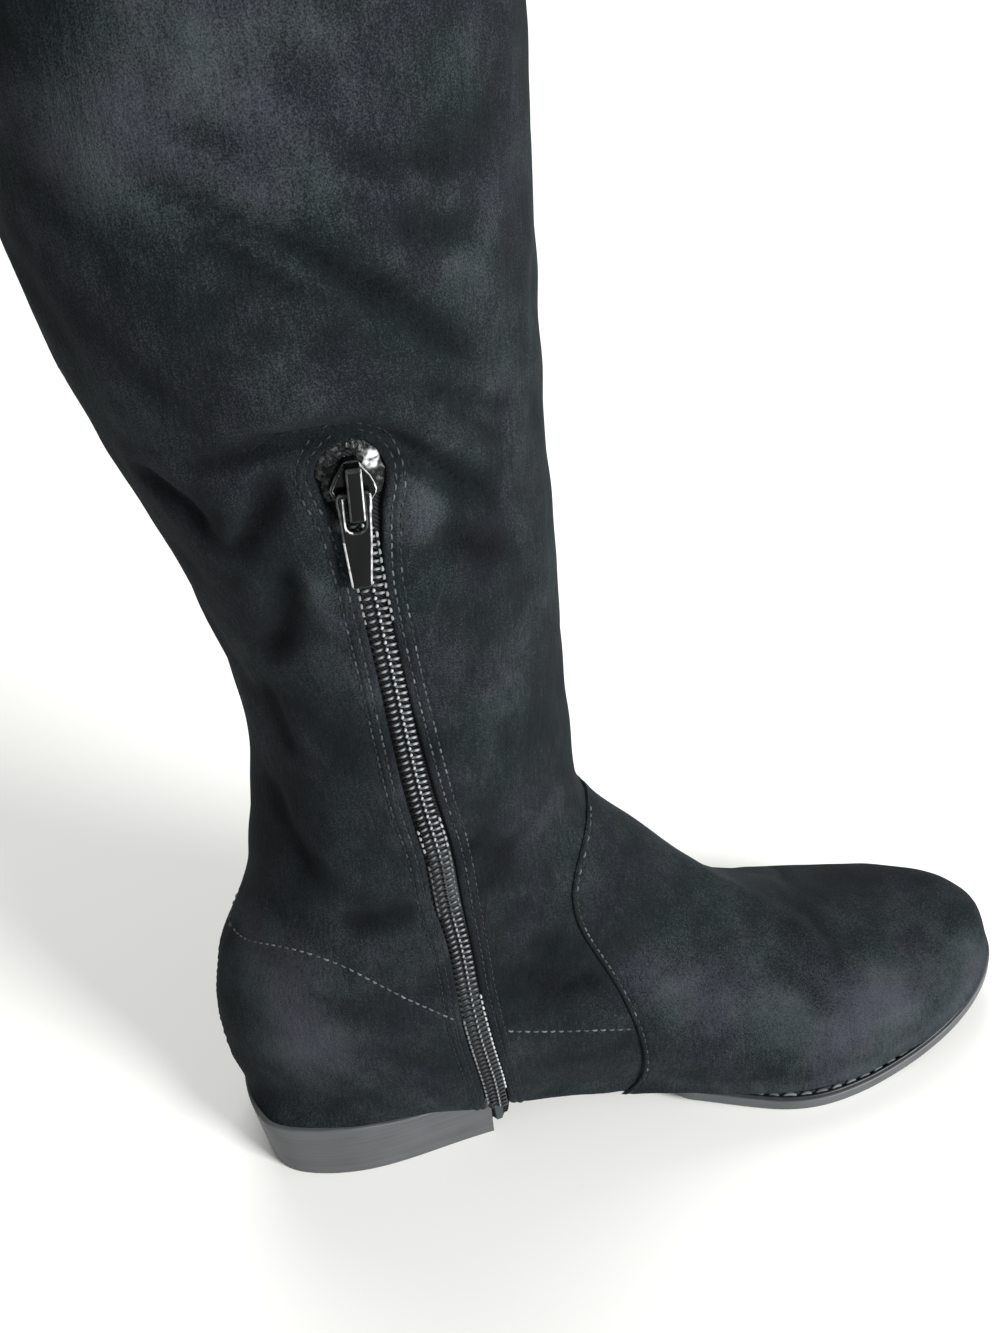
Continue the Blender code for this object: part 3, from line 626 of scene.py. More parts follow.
def makeShaft():
    rows, high = np.arange(netRows), boot["shaftHeight"]
    halves = net[:, :netHalf + 1]
    zipColumns = np.array([np.interp(0.0, half[:, 0] - zipX(half[:, 2]), innerColumns) for half in halves])
    zipZ = np.array([np.interp(column, innerColumns, half[:, 2]) for half, column in zip(halves, zipColumns)])
    foot = zipZ[0] + np.array(shaft["lowRows"])
    roundZ, top = zipOpening["roundZ"], zipOpening["roundZ"] + zipOpening["topHalf"]
    # rows of the foot, up the zip and round its end, of the calf, the thigh and the collar
    heights = np.concatenate([
        foot, np.arange(foot[-1] + shaft["footStep"], roundZ - 1.0, shaft["footStep"]),
        roundZ + zipOpening["topHalf"] * np.sin(np.radians(np.linspace(0.0, 90.0, 12))),
        np.arange(top + 1.2, shaft["calfTop"], shaft["calfStep"]),
        np.arange(shaft["calfTop"] + 3.0, high - 14.0, shaft["thighStep"]),
        high - np.array(shaft["hemRows"])])
    edges = np.array(shaft["edges"])
    gridColumns = []
    atRows = np.interp(heights, zipZ, rows)
    for z, row in zip(heights, atRows):
        run = runAlong(readNet(net, np.full(netColumns + 1, row), np.arange(netColumns + 1.0)))
        start = np.interp(np.interp(row, rows, zipColumns), np.arange(netColumns + 1), run)
        half = float(openingHalf(z))
        free = run[-1] - 2.0 * half
        middle = np.linspace(edges[-1], free - edges[-1], shaft["columns"] + 1)[1:-1]
        along = start + half + np.concatenate([edges, middle, free - edges[::-1]])
        gridColumns.append(np.interp(along % run[-1], run, np.arange(netColumns + 1.0)))
    gridColumns = np.array(gridColumns)
    gridRows = atRows[:, None] * np.ones(gridColumns.shape)
    flat, base, out, folds = clothOn(gridRows, gridColumns)
    lift = shaftLift(flat).reshape(gridRows.shape) + tuckUnder(heights - heights[0])
    hem = (high - heights)[:, None]
    lift -= shaft["hemGroove"] * bell(hem, shaft["hemGrooveWidth"], shaft["hemStitch"])
    lift -= shaft["hemEdge"] * roundedOff(hem / shaft["hemEdge"])
    return shellMesh(base, out, lift, folds - boot["wall"], int(np.searchsorted(heights, top + 0.01)))


def makeVamp():
    rows = np.arange(len(vampRows))
    run = runAlong(readNet(net, vampRows[:, 0], np.full(len(rows), float(netHalf))))
    low, samples = np.array(vamp["lowRows"]), vamp["samples"]
    steps = np.concatenate([low, np.linspace(low[-1], run[-1], vamp["rows"])[1:]])
    edges = np.array(vamp["edges"])
    gridColumns = []
    atRows = readLine(vampRows, rows, np.interp(steps, run, rows))
    for row, near, far in atRows:
        columns = np.linspace(near, far, samples)
        length = runAlong(readNet(net, np.full(samples, row), columns))
        reach = edges * min(1.0, length[-1] / (4.0 * edges[-1]))
        middle = np.linspace(reach[-1], length[-1] - reach[-1], vamp["columns"] + 1)[1:-1]
        along = np.concatenate([reach, middle, length[-1] - reach[::-1]])
        gridColumns.append(np.interp(along, length, columns))
    gridColumns = np.array(gridColumns)
    gridRows = atRows[:, :1] * np.ones(gridColumns.shape)
    flat, base, out, folds = clothOn(gridRows, gridColumns)
    lift = vampLift(flat, toLine(flat, seamWay)[0]).reshape(gridRows.shape) + tuckUnder(steps)
    inside = folds - vamp["tuck"]
    return shellMesh(base, out, np.maximum(lift, inside + vamp["least"]), inside, len(steps))


# stitches

thread = {
    "upper": (2.7, 1.95, 0.3), "welt": (5.5, 4.3, 0.55),      # pitch, length and radius of a stitch
    "rowLow": 22.0,          # the rows beside the zip start here
    "zipRowShows": [(0.0, 0.05), (110.0, 0.15), (135.0, 0.6), (170.0, 1.0), (255.0, 1.0), (266.0, 0.6),
                    (274.0, 0.05)],      # by height, how far their thread stands out from the suede
    "zipRowSides": (0.75, 0.4),      # and how much of that ahead of the zip and behind it
    # rows sewn on the side: number, side, and x, z of the places they go through
    "counters": [
        (3, "inner", [(4.0, 90.0), (12.0, 94.3), (26.0, 100.0), (40.0, 97.0), (56.0, 82.8), (67.5, 71.2),
                      (71.8, 67.2)]),
        (4, "inner", [(87.5, 56.2), (98.0, 52.4), (110.0, 48.9), (128.6, 44.2)]),
        (5, "outer", [(4.0, 90.0), (12.0, 94.3), (26.0, 100.0), (40.0, 97.0), (56.0, 82.8), (73.0, 66.5),
                      (90.0, 55.4), (110.0, 48.9), (128.6, 44.2)]),
    ],
}


def stitchShape():      # one stitch, bowed so that its ends go into the cloth
    along = np.array([-1.0, -0.86, -0.5, 0.0, 0.5, 0.86, 1.0])
    thick = np.array([0.35, 0.8, 1.0, 1.0, 1.0, 0.8, 0.35])
    turn = np.radians(np.arange(0.0, 360.0, 60.0))
    bow = 0.55 - 1.25 * along ** 2
    rings = [[(a, t * math.cos(w), t * math.sin(w) + b) for w in turn] for a, t, b in zip(along, thick, bow)]
    count, last = len(turn), len(turn) * len(along)
    caps = [list(range(count))[::-1], list(range(last - count, last))]
    return np.array(rings).reshape(-1, 3), ringFaces(len(along), count) + caps


def sewRow(way, out, pitch, length, radius, seed=1, showing=1.0, least=0.0):
    # points, faces and paleness of the stitches along a line; the paleness is a painted highlight, where here
    # and there one catches the light
    shape, shapeFaces = stitchShape()
    run = runAlong(way)
    showing = np.broadcast_to(showing, len(way))
    count = max(int(run[-1] / pitch), 1)
    chance = np.random.default_rng(seed)
    points, faces, pale = [], [], []
    for at in (np.arange(count) + 0.5) * run[-1] / count:
        start, end = (readLine(way, run, at + reach) for reach in (-length / 2.0, length / 2.0))
        along = unit(end - start)
        up = readLine(out, run, at)
        up = unit(up - along * up.dot(along))
        across = np.cross(up, along)
        lean = chance.normal(0.0, 0.07)
        along, across = along + across * lean, across - along * lean
        size = length / 2.0 * (1.0 + chance.normal(0.0, 0.05))
        faces += [[item + len(points) * len(shape) for item in face] for face in shapeFaces]
        points.append((start + end) / 2.0 + shape @ np.array([along * size, across * radius, up * radius]))
        shade = np.interp(at, run, showing) * (least + (1.0 - least) * chance.random() ** 1.6)
        pale.append(np.full(len(shape), shade))
    return np.concatenate(points), faces, np.concatenate(pale)


def joinRows(rows):      # several sewn rows as one mesh
    points, faces, pale = zip(*rows)
    before = np.cumsum([0] + [len(part) for part in points])
    faces = [[item + start for item in face] for part, start in zip(faces, before) for face in part]
    return markMesh(layMesh(np.concatenate(points), faces), "pale", np.concatenate(pale))


def onShaft(line, side="inner"):      # a side-view line laid on the finished suede
    base, out = onLast(*line.T, side)
    return base + out * shaftLift(base)[:, None] + drawnDown(base), out


def besideSeam(offset):      # a line on the vamp at this distance from its edge, over the instep
    steps = np.linspace(0.0, 14.0, 70)      # columns of the net to try, from the edge
    halves = []
    for start, turn in ((1, 1), (2, -1)):
        places = []
        for edge in vampRows[::2]:
            tries = edge[start] + turn * steps
            away = toLine(readNet(net, np.full(len(steps), edge[0]), tries), seamWay)[0]
            if away.max() > offset:
                at = int(np.argmax(away > offset))
                share = (offset - away[at - 1]) / (away[at] - away[at - 1])
                places.append((edge[0], tries[at - 1] + share * (tries[at] - tries[at - 1])))
        halves += places[::turn]
    base, out = onNet(*np.array(halves).T)
    return base + out * vampLift(base, np.full(len(base), offset))[:, None] + drawnDown(base), out


def makeStitches():
    plain = thread["upper"]
    rows = []
    for seed, offset in enumerate(zipOpening["stitchRows"]):
        way, out = onShaft(roundOpening(offset, thread["rowLow"]))
        showing = readTable(thread["zipRowShows"], way[:, 2])
        showing = showing * np.where(way[:, 0] > zipX(way[:, 2]), *thread["zipRowSides"])
        rows.append(sewRow(way, out, *plain, seed, showing))
    for seed, side, places in thread["counters"]:
        rows.append(sewRow(*onShaft(smoothCurve(places, step=2.0), side), *plain, seed, 1.0, 0.3))
    way, out = besideSeam(vamp["stitchIn"])
    clear = way[:, 2] > featherLine(way[:, 0]) + 3.0
    rows.append(sewRow(way[clear], out[clear], *plain, 6, 0.8))
    hem = np.interp(boot["shaftHeight"] - shaft["hemStitch"], net[:, 0, 2], np.arange(netRows))
    base, out = onNet(np.full(netColumns + 1, hem), np.arange(netColumns + 1.0))
    rows.append(sewRow(base + out * (creaseLift(base) - shaft["hemGroove"])[:, None], out, *plain, 7, 0.5))
    return joinRows(rows)


# sole

sole = {
    "edge": 3.9,             # of the outsole under the welt
    "weltStart": 148.0, "weltInset": 0.5, "weltWidth": 8.5,
    "weltStitch": 1.6,       # from the welt's edge
    "weltProfile": [(0.25, 4.2), (0.0, 4.45), (0.0, 5.15), (0.12, 5.38), (0.35, 5.5)],      # inwards, up
    "weltGroove": [(-0.8, 5.5), (-0.55, 5.32), (-0.3, 5.12), (0.3, 5.12), (0.55, 5.32), (0.8, 5.5)],
    "underEdge": [(1.5, 0.0), (0.5, 0.06), (0.12, 0.28), (0.0, 0.7)],      # inwards, up
    "topEdge": [(0.0, 0.7), (0.1, 0.25), (0.35, 0.04), (0.8, 0.0)],      # inwards, down
    "weltStep": (-1.0, 1.2),      # from the welt's start, and over how much, the outsole is thinner
    "weltSeam": 5.3,         # height of its stitches
    # the upper hides the sole at the waist: how far in, from which x, over how much, and at its front
    "waistInset": 2.4, "waistFrom": (80.0, 6.0), "waistFront": 8.0,
    "waistOuter": 2.8, "outerFrom": (98.0, 8.0),      # more on the outer side
    "heelRim": 1.5, "rimFrom": (28.0, 24.0),      # it cups the upper at the back, and runs out
    "heelFoot": [(1.0, 0.0), (0.4, 0.05), (0.1, 0.25), (0.0, 0.6)],      # inwards, up
    "heelTop": [(0.0, 0.5), (0.1, 0.18), (0.35, 0.03), (0.9, 0.0), (1.6, 0.0)],      # inwards, down
    "insoleInset": 3.2, "insole": 2.6,
}


def cappedLoft(rings):      # rings that start at the heel's back, closed with strips across
    count = len(rings[0])
    faces = ringFaces(len(rings), count)
    last = (len(rings) - 1) * count
    for at in range(count // 2):
        strip = list(dict.fromkeys([(count - at) % count, (count - at - 1) % count, at + 1, at]))
        faces += [strip, [item + last for item in reversed(strip)]]
    return layMesh(np.concatenate(rings), faces)


def cutAcross(piece, x, keepAhead):      # cut across the foot, and the cut filled
    return editMesh(piece, ("bisect", {
        "plane_co": ((x - boot["heelCentre"]) * mm, 0.0, 0.0), "plane_no": (1.0, 0.0, 0.0), "use_fill": True,
        "clear_inner": keepAhead, "clear_outer": not keepAhead, "threshold": 0.000001}), facesOut)


def makeOutsole():
    ring = soleRing()
    x, y = ring.T
    waist = easeIn(x, *sole["waistFrom"]) * easeIn(sole["weltStart"] - x, 0.0, sole["waistFront"])
    more = sole["waistOuter"] * easeIn(x, *sole["outerFrom"]) * (y > 0.0)
    ring = insetRing(ring, ((sole["waistInset"] + more) * waist)[:, None])
    inside = sole["weltInset"] + sole["weltWidth"] + boot["gap"]

    def level(inset, height, atTop=False):      # its height is from the underside, or down from the top
        plan = insetRing(ring, inset)
        step = easeIn(plan[:, 0] - sole["weltStart"], *sole["weltStep"])
        top = boot["outsole"] - (boot["outsole"] - sole["edge"]) * step
        return np.column_stack([plan, underSole(plan[:, 0]) + (top - height if atTop else height)])

    rings = [level(*item) for item in sole["underEdge"]]
    rings += [level(*item, True) for item in sole["topEdge"] + [(inside, 0.0)]]
    inner = insetRing(ring, inside + 0.4)
    rings.append(np.column_stack([inner, underSole(inner[:, 0]) + boot["outsole"]]))
    return cutAcross(cappedLoft(rings), boot["heelBreast"] + boot["gap"], True)


def makeHeel():
    ring = soleRing()
    breast, taper = boot["heelBreast"], boot["heelTaper"]
    seat = underSole(ring[:, 0]) + boot["outsole"]
    rim = sole["heelRim"] * (1.0 - easeIn(ring[:, 0], *sole["rimFrom"]))
    levels = [(0.0, inset, height) for inset, height in sole["heelFoot"]]
    levels += [(share, 0.0, 0.0) for share in (0.2, 0.4, 0.6, 0.8)]
    levels += [(1.0, inset, rim - down) for inset, down in sole["heelTop"]] + [(1.0, 2.4, 0.0)]
    rings = []
    for share, inset, lift in levels:
        x, y = insetRing(ring, inset).T
        size = taper + (1.0 - taper) * share
        rings.append(np.column_stack([breast - (breast - x) * size, y * size, seat * share + lift]))
    return cutAcross(cappedLoft(rings), breast, False)


def alongWelt(inset, height):      # the sole's outline from the welt's start round the toe
    ring = soleRing()
    ahead = np.nonzero(ring[:, 0] > sole["weltStart"])[0]
    plan = insetRing(ring, sole["weltInset"] + inset)[ahead[0]:ahead[-1] + 1]
    return np.column_stack([plan, underSole(plan[:, 0]) + height])


def makeWelt():
    groove = [(sole["weltStitch"] + inset, height) for inset, height in sole["weltGroove"]]
    far = [(5.0, 5.5), (sole["weltWidth"], 5.5), (sole["weltWidth"], 4.2)]
    grid = np.stack([alongWelt(*item) for item in sole["weltProfile"] + groove + far], axis=1)
    rows, count = grid.shape[:2]
    faces = [face[::-1] for face in ringFaces(rows, count)]
    faces += [list(range(count)), list(range((rows - 1) * count, rows * count))[::-1]]
    return editMesh(layMesh(grid.reshape(-1, 3), faces), facesOut)


def makeWeltStitches():
    way = alongWelt(sole["weltStitch"], sole["weltSeam"])[3:-6]      # short of the welt's ends
    up = np.tile((0.0, 0.0, 1.0), (len(way), 1))
    return joinRows([sewRow(way, up, *thread["welt"], 9, 1.0, 0.5)])


def makeInsole():
    edge, thick = net[0][::2, :2], sole["insole"]
    rings = []
    for more, height in ((0.8, 0.0), (0.1, 0.3), (0.0, 0.8), (0.0, thick - 0.9), (0.25, thick - 0.3),
                         (0.9, thick - 0.05), (2.2, thick)):
        plan = insetRing(edge, sole["insoleInset"] + more)
        rings.append(np.column_stack([plan, featherLine(plan[:, 0]) + height]))
    return cappedLoft(rings)


# zip

zipParts = {
    "low": 13.5, "high": 257.0,      # the chain's lower end, and where it goes in under the slider
    "follow": 0.7,           # how far it rises with the creases
    "followTo": 250.0, "followOver": 20.0,      # it lies level at the slider
    "tapeLow": 12.0, "tapeHigh": 276.0, "tapeThick": 0.5,
    # the tape's depth, and where it sinks further: how far, starting there, over this much
    "tapeDepth": 1.0, "tapeSinks": [(0.6, 3.0, 1.2), (0.8, 4.2, 2.0)],
    "tapeCord": (3.2, 0.6),      # its paler cord reaches this far from the middle, and fades over this much
    "tapeColumns": (2.9, 3.4, 4.0, 4.7, 6.2, 8.0, 10.0),      # from the middle
    "pitch": 2.4,            # from loop to loop
    "loopOut": 3.0,          # from the middle
    "loopIn": {1: 0.5, -1: -0.35},      # the back row's heads reach past the middle and lie on top
    "loopRise": 0.55,
    "loopDepth": 0.8,        # the coil's middle under the suede's face
    "filament": 0.36,
    "head": {1: 0.04, -1: 0.12},      # how much thicker the heads are
    "upright": 0.19,         # 0.25 would set the upper strands square across
    "squared": (0.85, 0.7),      # a loop's roundness, from above and from its end; 1 is round
    "headReach": 0.25, "headUp": 0.5,      # the back row's heads ride up
    "dip": (0.5, 0.4, 0.85),      # and its loops dip behind them: depth, half width, place
    "loopPoints": 20,
    "threadRow": 3.45, "threadUp": 0.15,      # from the coil's middle
    "threadLength": 1.5, "threadRadius": 0.38,
    # rows of thread that show: side, from and to by height, how pale
    "threadRows": [(-1, 21.0, 66.0, 0.28), (1, 25.0, 75.0, 0.7), (-1, 112.0, 134.0, 0.1),
                   (1, 112.0, 136.0, 0.18), (-1, 138.0, 149.0, 0.4), (1, 137.0, 151.0, 0.55),
                   (-1, 222.0, 250.0, 0.35), (1, 222.0, 250.0, 0.42)],
    # by height, how strong the painted highlights on the loops and their heads are
    "barHighlights": [(0.0, 0.15), (70.0, 0.15), (84.0, 0.7), (95.0, 1.0), (110.0, 0.8), (118.0, 0.35),
                 (134.0, 0.5), (146.0, 1.1), (165.0, 1.35), (200.0, 1.3), (225.0, 1.0), (260.0, 1.0)],
    "headHighlights": [(0.0, 0.6), (80.0, 0.7), (106.0, 0.9), (114.0, 0.15), (131.0, 0.15), (139.0, 1.0),
                  (260.0, 1.0)],
    # where along a loop the painted highlight lies: strength, half width, place from the middle
    "frontHighlights": [(0.27, 0.5, 1.5), (0.6, 0.5, 3.0)],
    "backHighlights": [(0.34, 0.42, 2.4)],
    "headHighlightSpot": (0.4, -0.05),      # half width and place
    "leastHighlight": 0.03,       # a faint painted highlight, on loops where the strong one is missing
    "twistAt": 121.0, "twistOver": 13.0, "twist": 16.0,      # the chain rolls a little here, in degrees
    "sway": 3.0, "drift": 0.3,      # and everywhere, in degrees and in mm across
}


zipFoot = float(featherLine(zipX(16.0))[0]) + 0.2      # where the opening meets the lower edge


def zipFrame():
    zs = np.linspace(zipParts["low"], zipParts["high"] + 14.0, 700)
    held = np.maximum(zs, zipFoot)
    middle, out = onLast(zipX(held), held)
    level = easeIn(zipParts["followTo"] - zs, 0.0, zipParts["followOver"])
    rise = zipParts["follow"] * creaseLift(middle) * level
    middle = middle + drawnDown(middle) + out * rise[:, None]
    middle[:, 2] += zs - held
    along = unit(np.gradient(middle, axis=0))
    out = unit(out - along * (out * along).sum(1)[:, None])
    across = np.cross(along, out)
    roll = np.radians(zipParts["twist"]) * bell(zs, zipParts["twistOver"], zipParts["twistAt"])
    roll = (roll + np.radians(zipParts["sway"]) * np.sin(zs / 21.0))[:, None]
    across, out = across * np.cos(roll) - out * np.sin(roll), out * np.cos(roll) + across * np.sin(roll)
    middle = middle + across * (zipParts["drift"] * np.sin(zs / 26.0))[:, None]
    return zs, runAlong(middle), middle, across, out


zipZs, zipRun, *zipFields = zipFrame()


def onZip(along, across, rise):      # a place along the chain, across it and out of the boot
    middle, side, out = (readLine(field, zipRun, along) for field in zipFields)
    return middle + side * np.reshape(across, (-1, 1)) + out * np.reshape(rise, (-1, 1))


def makeCoil(side):
    v = zipParts
    start, end = np.interp([zipFoot + 0.5, v["high"]], zipZs, zipRun)
    turns = int((end - start) / v["pitch"]) - 1
    turn = np.arange(turns * v["loopPoints"]) * 2.0 * math.pi / v["loopPoints"]
    inner, outer = v["loopIn"][side], v["loopOut"]
    flatCos, flatSin = (np.sign(wave) * abs(wave) ** power
                        for wave, power in zip((np.cos(turn), np.sin(turn)), v["squared"]))
    reach = (inner + outer) / 2.0 - (outer - inner) / 2.0 * flatCos
    atHead = bell(1.0 - np.cos(turn), v["headReach"])
    rise = -v["loopDepth"] + v["loopRise"] * flatSin
    if side < 0:
        rise = rise + v["headUp"] * atHead - v["dip"][0] * bell(reach, *v["dip"][1:])
    along = start + v["pitch"] * (turn / (2.0 * math.pi) + v["upright"] * np.cos(turn) + (side < 0) * 0.5)
    height = np.interp(along, zipRun, zipZs)
    # painted highlight: the upper strands and the heads are drawn pale where light catches them, the lower
    # strands stay dark
    bars = readTable(v["barHighlights"], height)
    onTop = bars * np.clip(0.15 + 1.6 * np.sin(turn), 0.0, 1.0)
    pale = v["leastHighlight"] * np.maximum(1.0 - bars, 0.0) * easeIn(reach, 0.8, 0.3)
    for strength, width, place in v["frontHighlights" if side > 0 else "backHighlights"]:
        pale = pale + strength * onTop * bell(reach, width, place)
    if side < 0:
        heads = readTable(v["headHighlights"], height) * np.clip(0.1 + 1.2 * np.sin(turn), 0.0, 1.0)
        width, place = v["headHighlightSpot"]
        pale = pale + heads * np.exp(-((reach - place) / width) ** 4)
    curve = bpy.data.curves.new("coil", "CURVE")
    curve.dimensions = "3D"
    curve.bevel_depth = mm
    curve.bevel_resolution = curve.render_resolution_u = 2
    curve.use_fill_caps = True
    spline = curve.splines.new("POLY")
    spline.points.add(len(turn) - 1)
    places = toFrame(onZip(along, side * reach, rise))
    spline.points.foreach_set("co", np.column_stack([places, np.ones(len(turn))]).ravel())
    spline.points.foreach_set("radius", v["filament"] + v["head"][side] * atHead)
    coil = bpy.data.objects.new("coil", curve)
    bpy.context.collection.objects.link(coil)
    pickOnly(coil)
    bpy.ops.object.convert(target="MESH")
    coil = bpy.context.object
    count = len(coil.data.vertices)
    return markMesh(coil, "pale", np.resize(np.repeat(pale, count // len(turn)), count))


def makeZipThreads():      # the rows that hold the coil to its tape
    v = zipParts
    rows = []
    for seed, (side, low, high, shows) in enumerate(v["threadRows"]):
        along = np.arange(*np.interp([low, high], zipZs, zipRun), 0.8)
        rise = v["threadUp"] - v["loopDepth"]
        out = onZip(along, 0.0, rise + 1.0) - onZip(along, 0.0, rise)
        rows.append(sewRow(onZip(along, side * v["threadRow"], rise), out, v["pitch"], v["threadLength"],
                           v["threadRadius"], seed + 20, shows, 0.7))
    return joinRows(rows)


def fromSide(x, z):      # a grid seen from the side, on the last: flat list of places, and the grids
    base, out = onLast(x.ravel(), z.ravel())
    return base, base.reshape(*x.shape, 3), out.reshape(*x.shape, 3)


def makeTape():
    v = zipParts
    low = v["tapeLow"]
    zs = np.concatenate([np.linspace(low, zipFoot, 8)[:-1], np.linspace(zipFoot, v["tapeHigh"], 132)])
    halves = np.array(v["tapeColumns"])
    across = np.concatenate([-halves[::-1], np.linspace(-2.3, 2.3, 5), halves])
    narrow = np.clip((zs - low) / (zipFoot + 3.0 - low), 0.0, 1.0)      # its end is cut round
    narrow = (0.30 + 0.15 * np.sqrt(narrow) + 0.55 * easeIn(zs - zipFoot, 2.0, 6.0))[:, None]
    depth = v["tapeDepth"]
    for more, start, over in v["tapeSinks"]:
        depth = depth + more * easeIn(abs(across), start, over)
    held = np.maximum(zs, zipFoot)[:, None]
    flat, base, out = fromSide(zipX(held[:, 0])[:, None] + across * narrow, held + 0.0 * across)
    folds = creaseLift(flat).reshape(base.shape[:2]) - 0.1
    base = base + drawnDown(flat).reshape(base.shape) + out * folds[..., None]
    base[:, :, 2] += zs[:, None] - held
    lift = -depth + 0.0 * held
    piece = shellMesh(base, out, lift, lift - v["tapeThick"], len(zs))
    cover = np.maximum(1.0 - readTable(v["barHighlights"], zs), 0.0)[:, None]      # its paler cord, under the coil
    cover = cover * (1.0 - easeIn(abs(across), *v["tapeCord"]))
    markMesh(piece, "cover", np.tile(cover.ravel(), 2))
    flat = np.stack([across * narrow, zs[:, None] + 0.0 * across], axis=-1)
    flat = np.tile(flat.reshape(-1, 2), (2, 1))      # across and along, in mm
    corners = np.empty(len(piece.data.loops), int)
    piece.data.loops.foreach_get("vertex_index", corners)
    piece.data.uv_layers.new(name="weave").data.foreach_set("uv", flat[corners].ravel())
    return piece


film = {
    "low": 259.5, "high": 274.2, "depth": 1.05, "crumple": 0.55, "size": 2.4, "thick": 0.2,
    "paintedGlare": (71.2, 268.6, 1.8),      # x, z and radius of the painted glare: a pale corner drawn where the light's reflection shows
}


def makeFilm():      # the melted film that ends the tape above the slider
    zs = np.linspace(film["low"], film["high"], 44)
    top = np.sqrt(1.0 - np.clip(intoRound(zs), 0.0, 0.995) ** 2)
    half = (openingHalf(np.minimum(zs, zipOpening["roundZ"])) - 0.2) * top
    share = np.linspace(-1.0, 1.0, 40)
    x, z = zipX(zs)[:, None] + half[:, None] * share, zs[:, None] + 0.0 * share
    flat, base, out = fromSide(x, z)
    rough, fine = (np.array([noise.noise(Vector(point / size)) for point in flat]).reshape(x.shape)
                   for size in (film["size"], 0.4 * film["size"]))
    lift = creaseLift(flat).reshape(x.shape) - film["depth"] - 0.5 * abs(share) ** 4
    lift = lift + film["crumple"] * (1.6 * rough + 0.6 * abs(fine))
    piece = shellMesh(base, out, lift, lift - film["thick"], len(zs))
    spotX, spotZ, radius = film["paintedGlare"]
    # painted reflection: a pale glare near the film's top corner
    paintedGlare = np.exp(-(((x - spotX) / (1.2 * radius)) ** 2 + ((z - spotZ) / radius) ** 2) ** 1.5)
    paintedGlare = np.clip(paintedGlare * (1.0 + 1.2 * rough + 2.0 * fine), 0.0, 1.0)
    return markMesh(piece, "paintedGlare", np.tile(paintedGlare.ravel(), 2))


# slider and pull tab, in the slider's own millimetres: across, along the zip, outwards

slider = {
    "body": [(1.0, 7.35), (1.8, 6.95), (2.4, 5.6), (3.2, 4.5), (4.25, 3.0), (5.15, 0.8), (5.6, -0.9),
             (5.3, -1.9), (4.1, -3.6), (4.0, -6.5), (-4.0, -6.5), (-4.3, -3.4), (-5.1, -1.7), (-5.8, 0.0),
             (-5.3, 1.3), (-4.0, 3.8), (-2.0, 6.9), (-1.1, 7.35)],
    "low": -1.3, "high": 1.6, "rounding": 0.35,
    "rim": (0.35, 0.18),     # width, and depth inside it
    "bridge": [(-7.4, 0.9), (-7.4, 4.5), (-6.9, 5.2), (6.3, 5.2), (7.0, 4.5), (7.0, 0.9),
               (5.9, 0.9), (5.9, 4.15), (-6.2, 4.15), (-6.2, 0.9)],      # along, outwards
    "bridgeHalf": 1.9, "bridgeRounding": 0.7,
    "aside": -0.85, "upward": 0.45,      # how it sits over the chain, across and along
    # painted highlights, as bright bare metal on the edges that face the light
    "litEdge": [(1, -7.5, 6.6, 1.0), (-1, -2.0, 8.0, 0.1)],      # side, from, to, strength
    "hingeAlong": -0.8, "hingeOut": 2.95,
    "over": (66.4, 263.0),      # x, z of the place it faces
}
tab = {
    "outline": [(3.2, 0.75), (3.8, 0.45), (4.2, -0.3), (4.3, -1.2), (4.2, -2.6), (4.0, -4.0), (3.75, -9.5),
                (3.6, -12.5), (2.6, -25.2), (2.2, -26.1)],      # its right half
    "window": [(2.35, -0.75), (2.35, -8.1), (2.15, -9.0), (1.65, -9.7), (0.9, -10.1)],
    "thick": 1.2, "rounding": 0.5, "aside": -0.4,
    # painted highlights, as bright bare metal on the edges that face the light
    "litEdge": [(1, -25.5, 0.0, 0.9), (-1, -26.0, -11.8, 1.0), (-1, -11.8, 1.0, 0.1)],
}


def mirrored(half):      # a closed outline from its right half
    return half + [(-u, v) for u, v in reversed(half) if u > 0.0]


def plate(outline, low, high, alongSide=False):      # an outline filled and extruded, in its own millimetres
    bpy.ops.mesh.primitive_circle_add(vertices=len(outline), radius=1.0, fill_type="NGON")
    piece = bpy.context.object
    for vert, (u, v) in zip(piece.data.vertices, outline):
        vert.co = (low, u, v) if alongSide else (u, v, low)
    push = (high - low, 0.0, 0.0) if alongSide else (0.0, 0.0, high - low)
    return editMesh(piece, ("extrude_region_move", {"TRANSFORM_OT_translate": {"value": push}}), facesOut)


def modify(piece, kind, **settings):      # a modifier, applied
    step = piece.modifiers.new("step", kind)
    for name, value in settings.items():
        setattr(step, name, value)
    pickOnly(piece)
    bpy.ops.object.modifier_apply(modifier=step.name)
    return piece


def rounded(piece, width, angle=30.0):
    angle = math.radians(angle)
    return modify(piece, "BEVEL", width=width, segments=3, limit_method="ANGLE", angle_limit=angle)


def combine(piece, other, operation):
    modify(piece, "BOOLEAN", object=other, operation=operation, solver="EXACT")
    bpy.data.objects.remove(other)


def insetFace(piece, height, width, depth):      # sinks the flat face at this height, inside a rim
    pickOnly(piece)
    bpy.ops.object.mode_set(mode="EDIT")
    bpy.ops.mesh.select_mode(type="FACE")
    bpy.ops.mesh.select_all(action="DESELECT")
    bpy.ops.object.mode_set(mode="OBJECT")
    for face in piece.data.polygons:
        face.select = face.normal.z > 0.99 and abs(face.center.z - height) < 0.01
    bpy.ops.object.mode_set(mode="EDIT")
    bpy.ops.mesh.inset(thickness=width, depth=0.0)
    bpy.ops.mesh.inset(thickness=0.12, depth=-depth)
    bpy.ops.object.mode_set(mode="OBJECT")


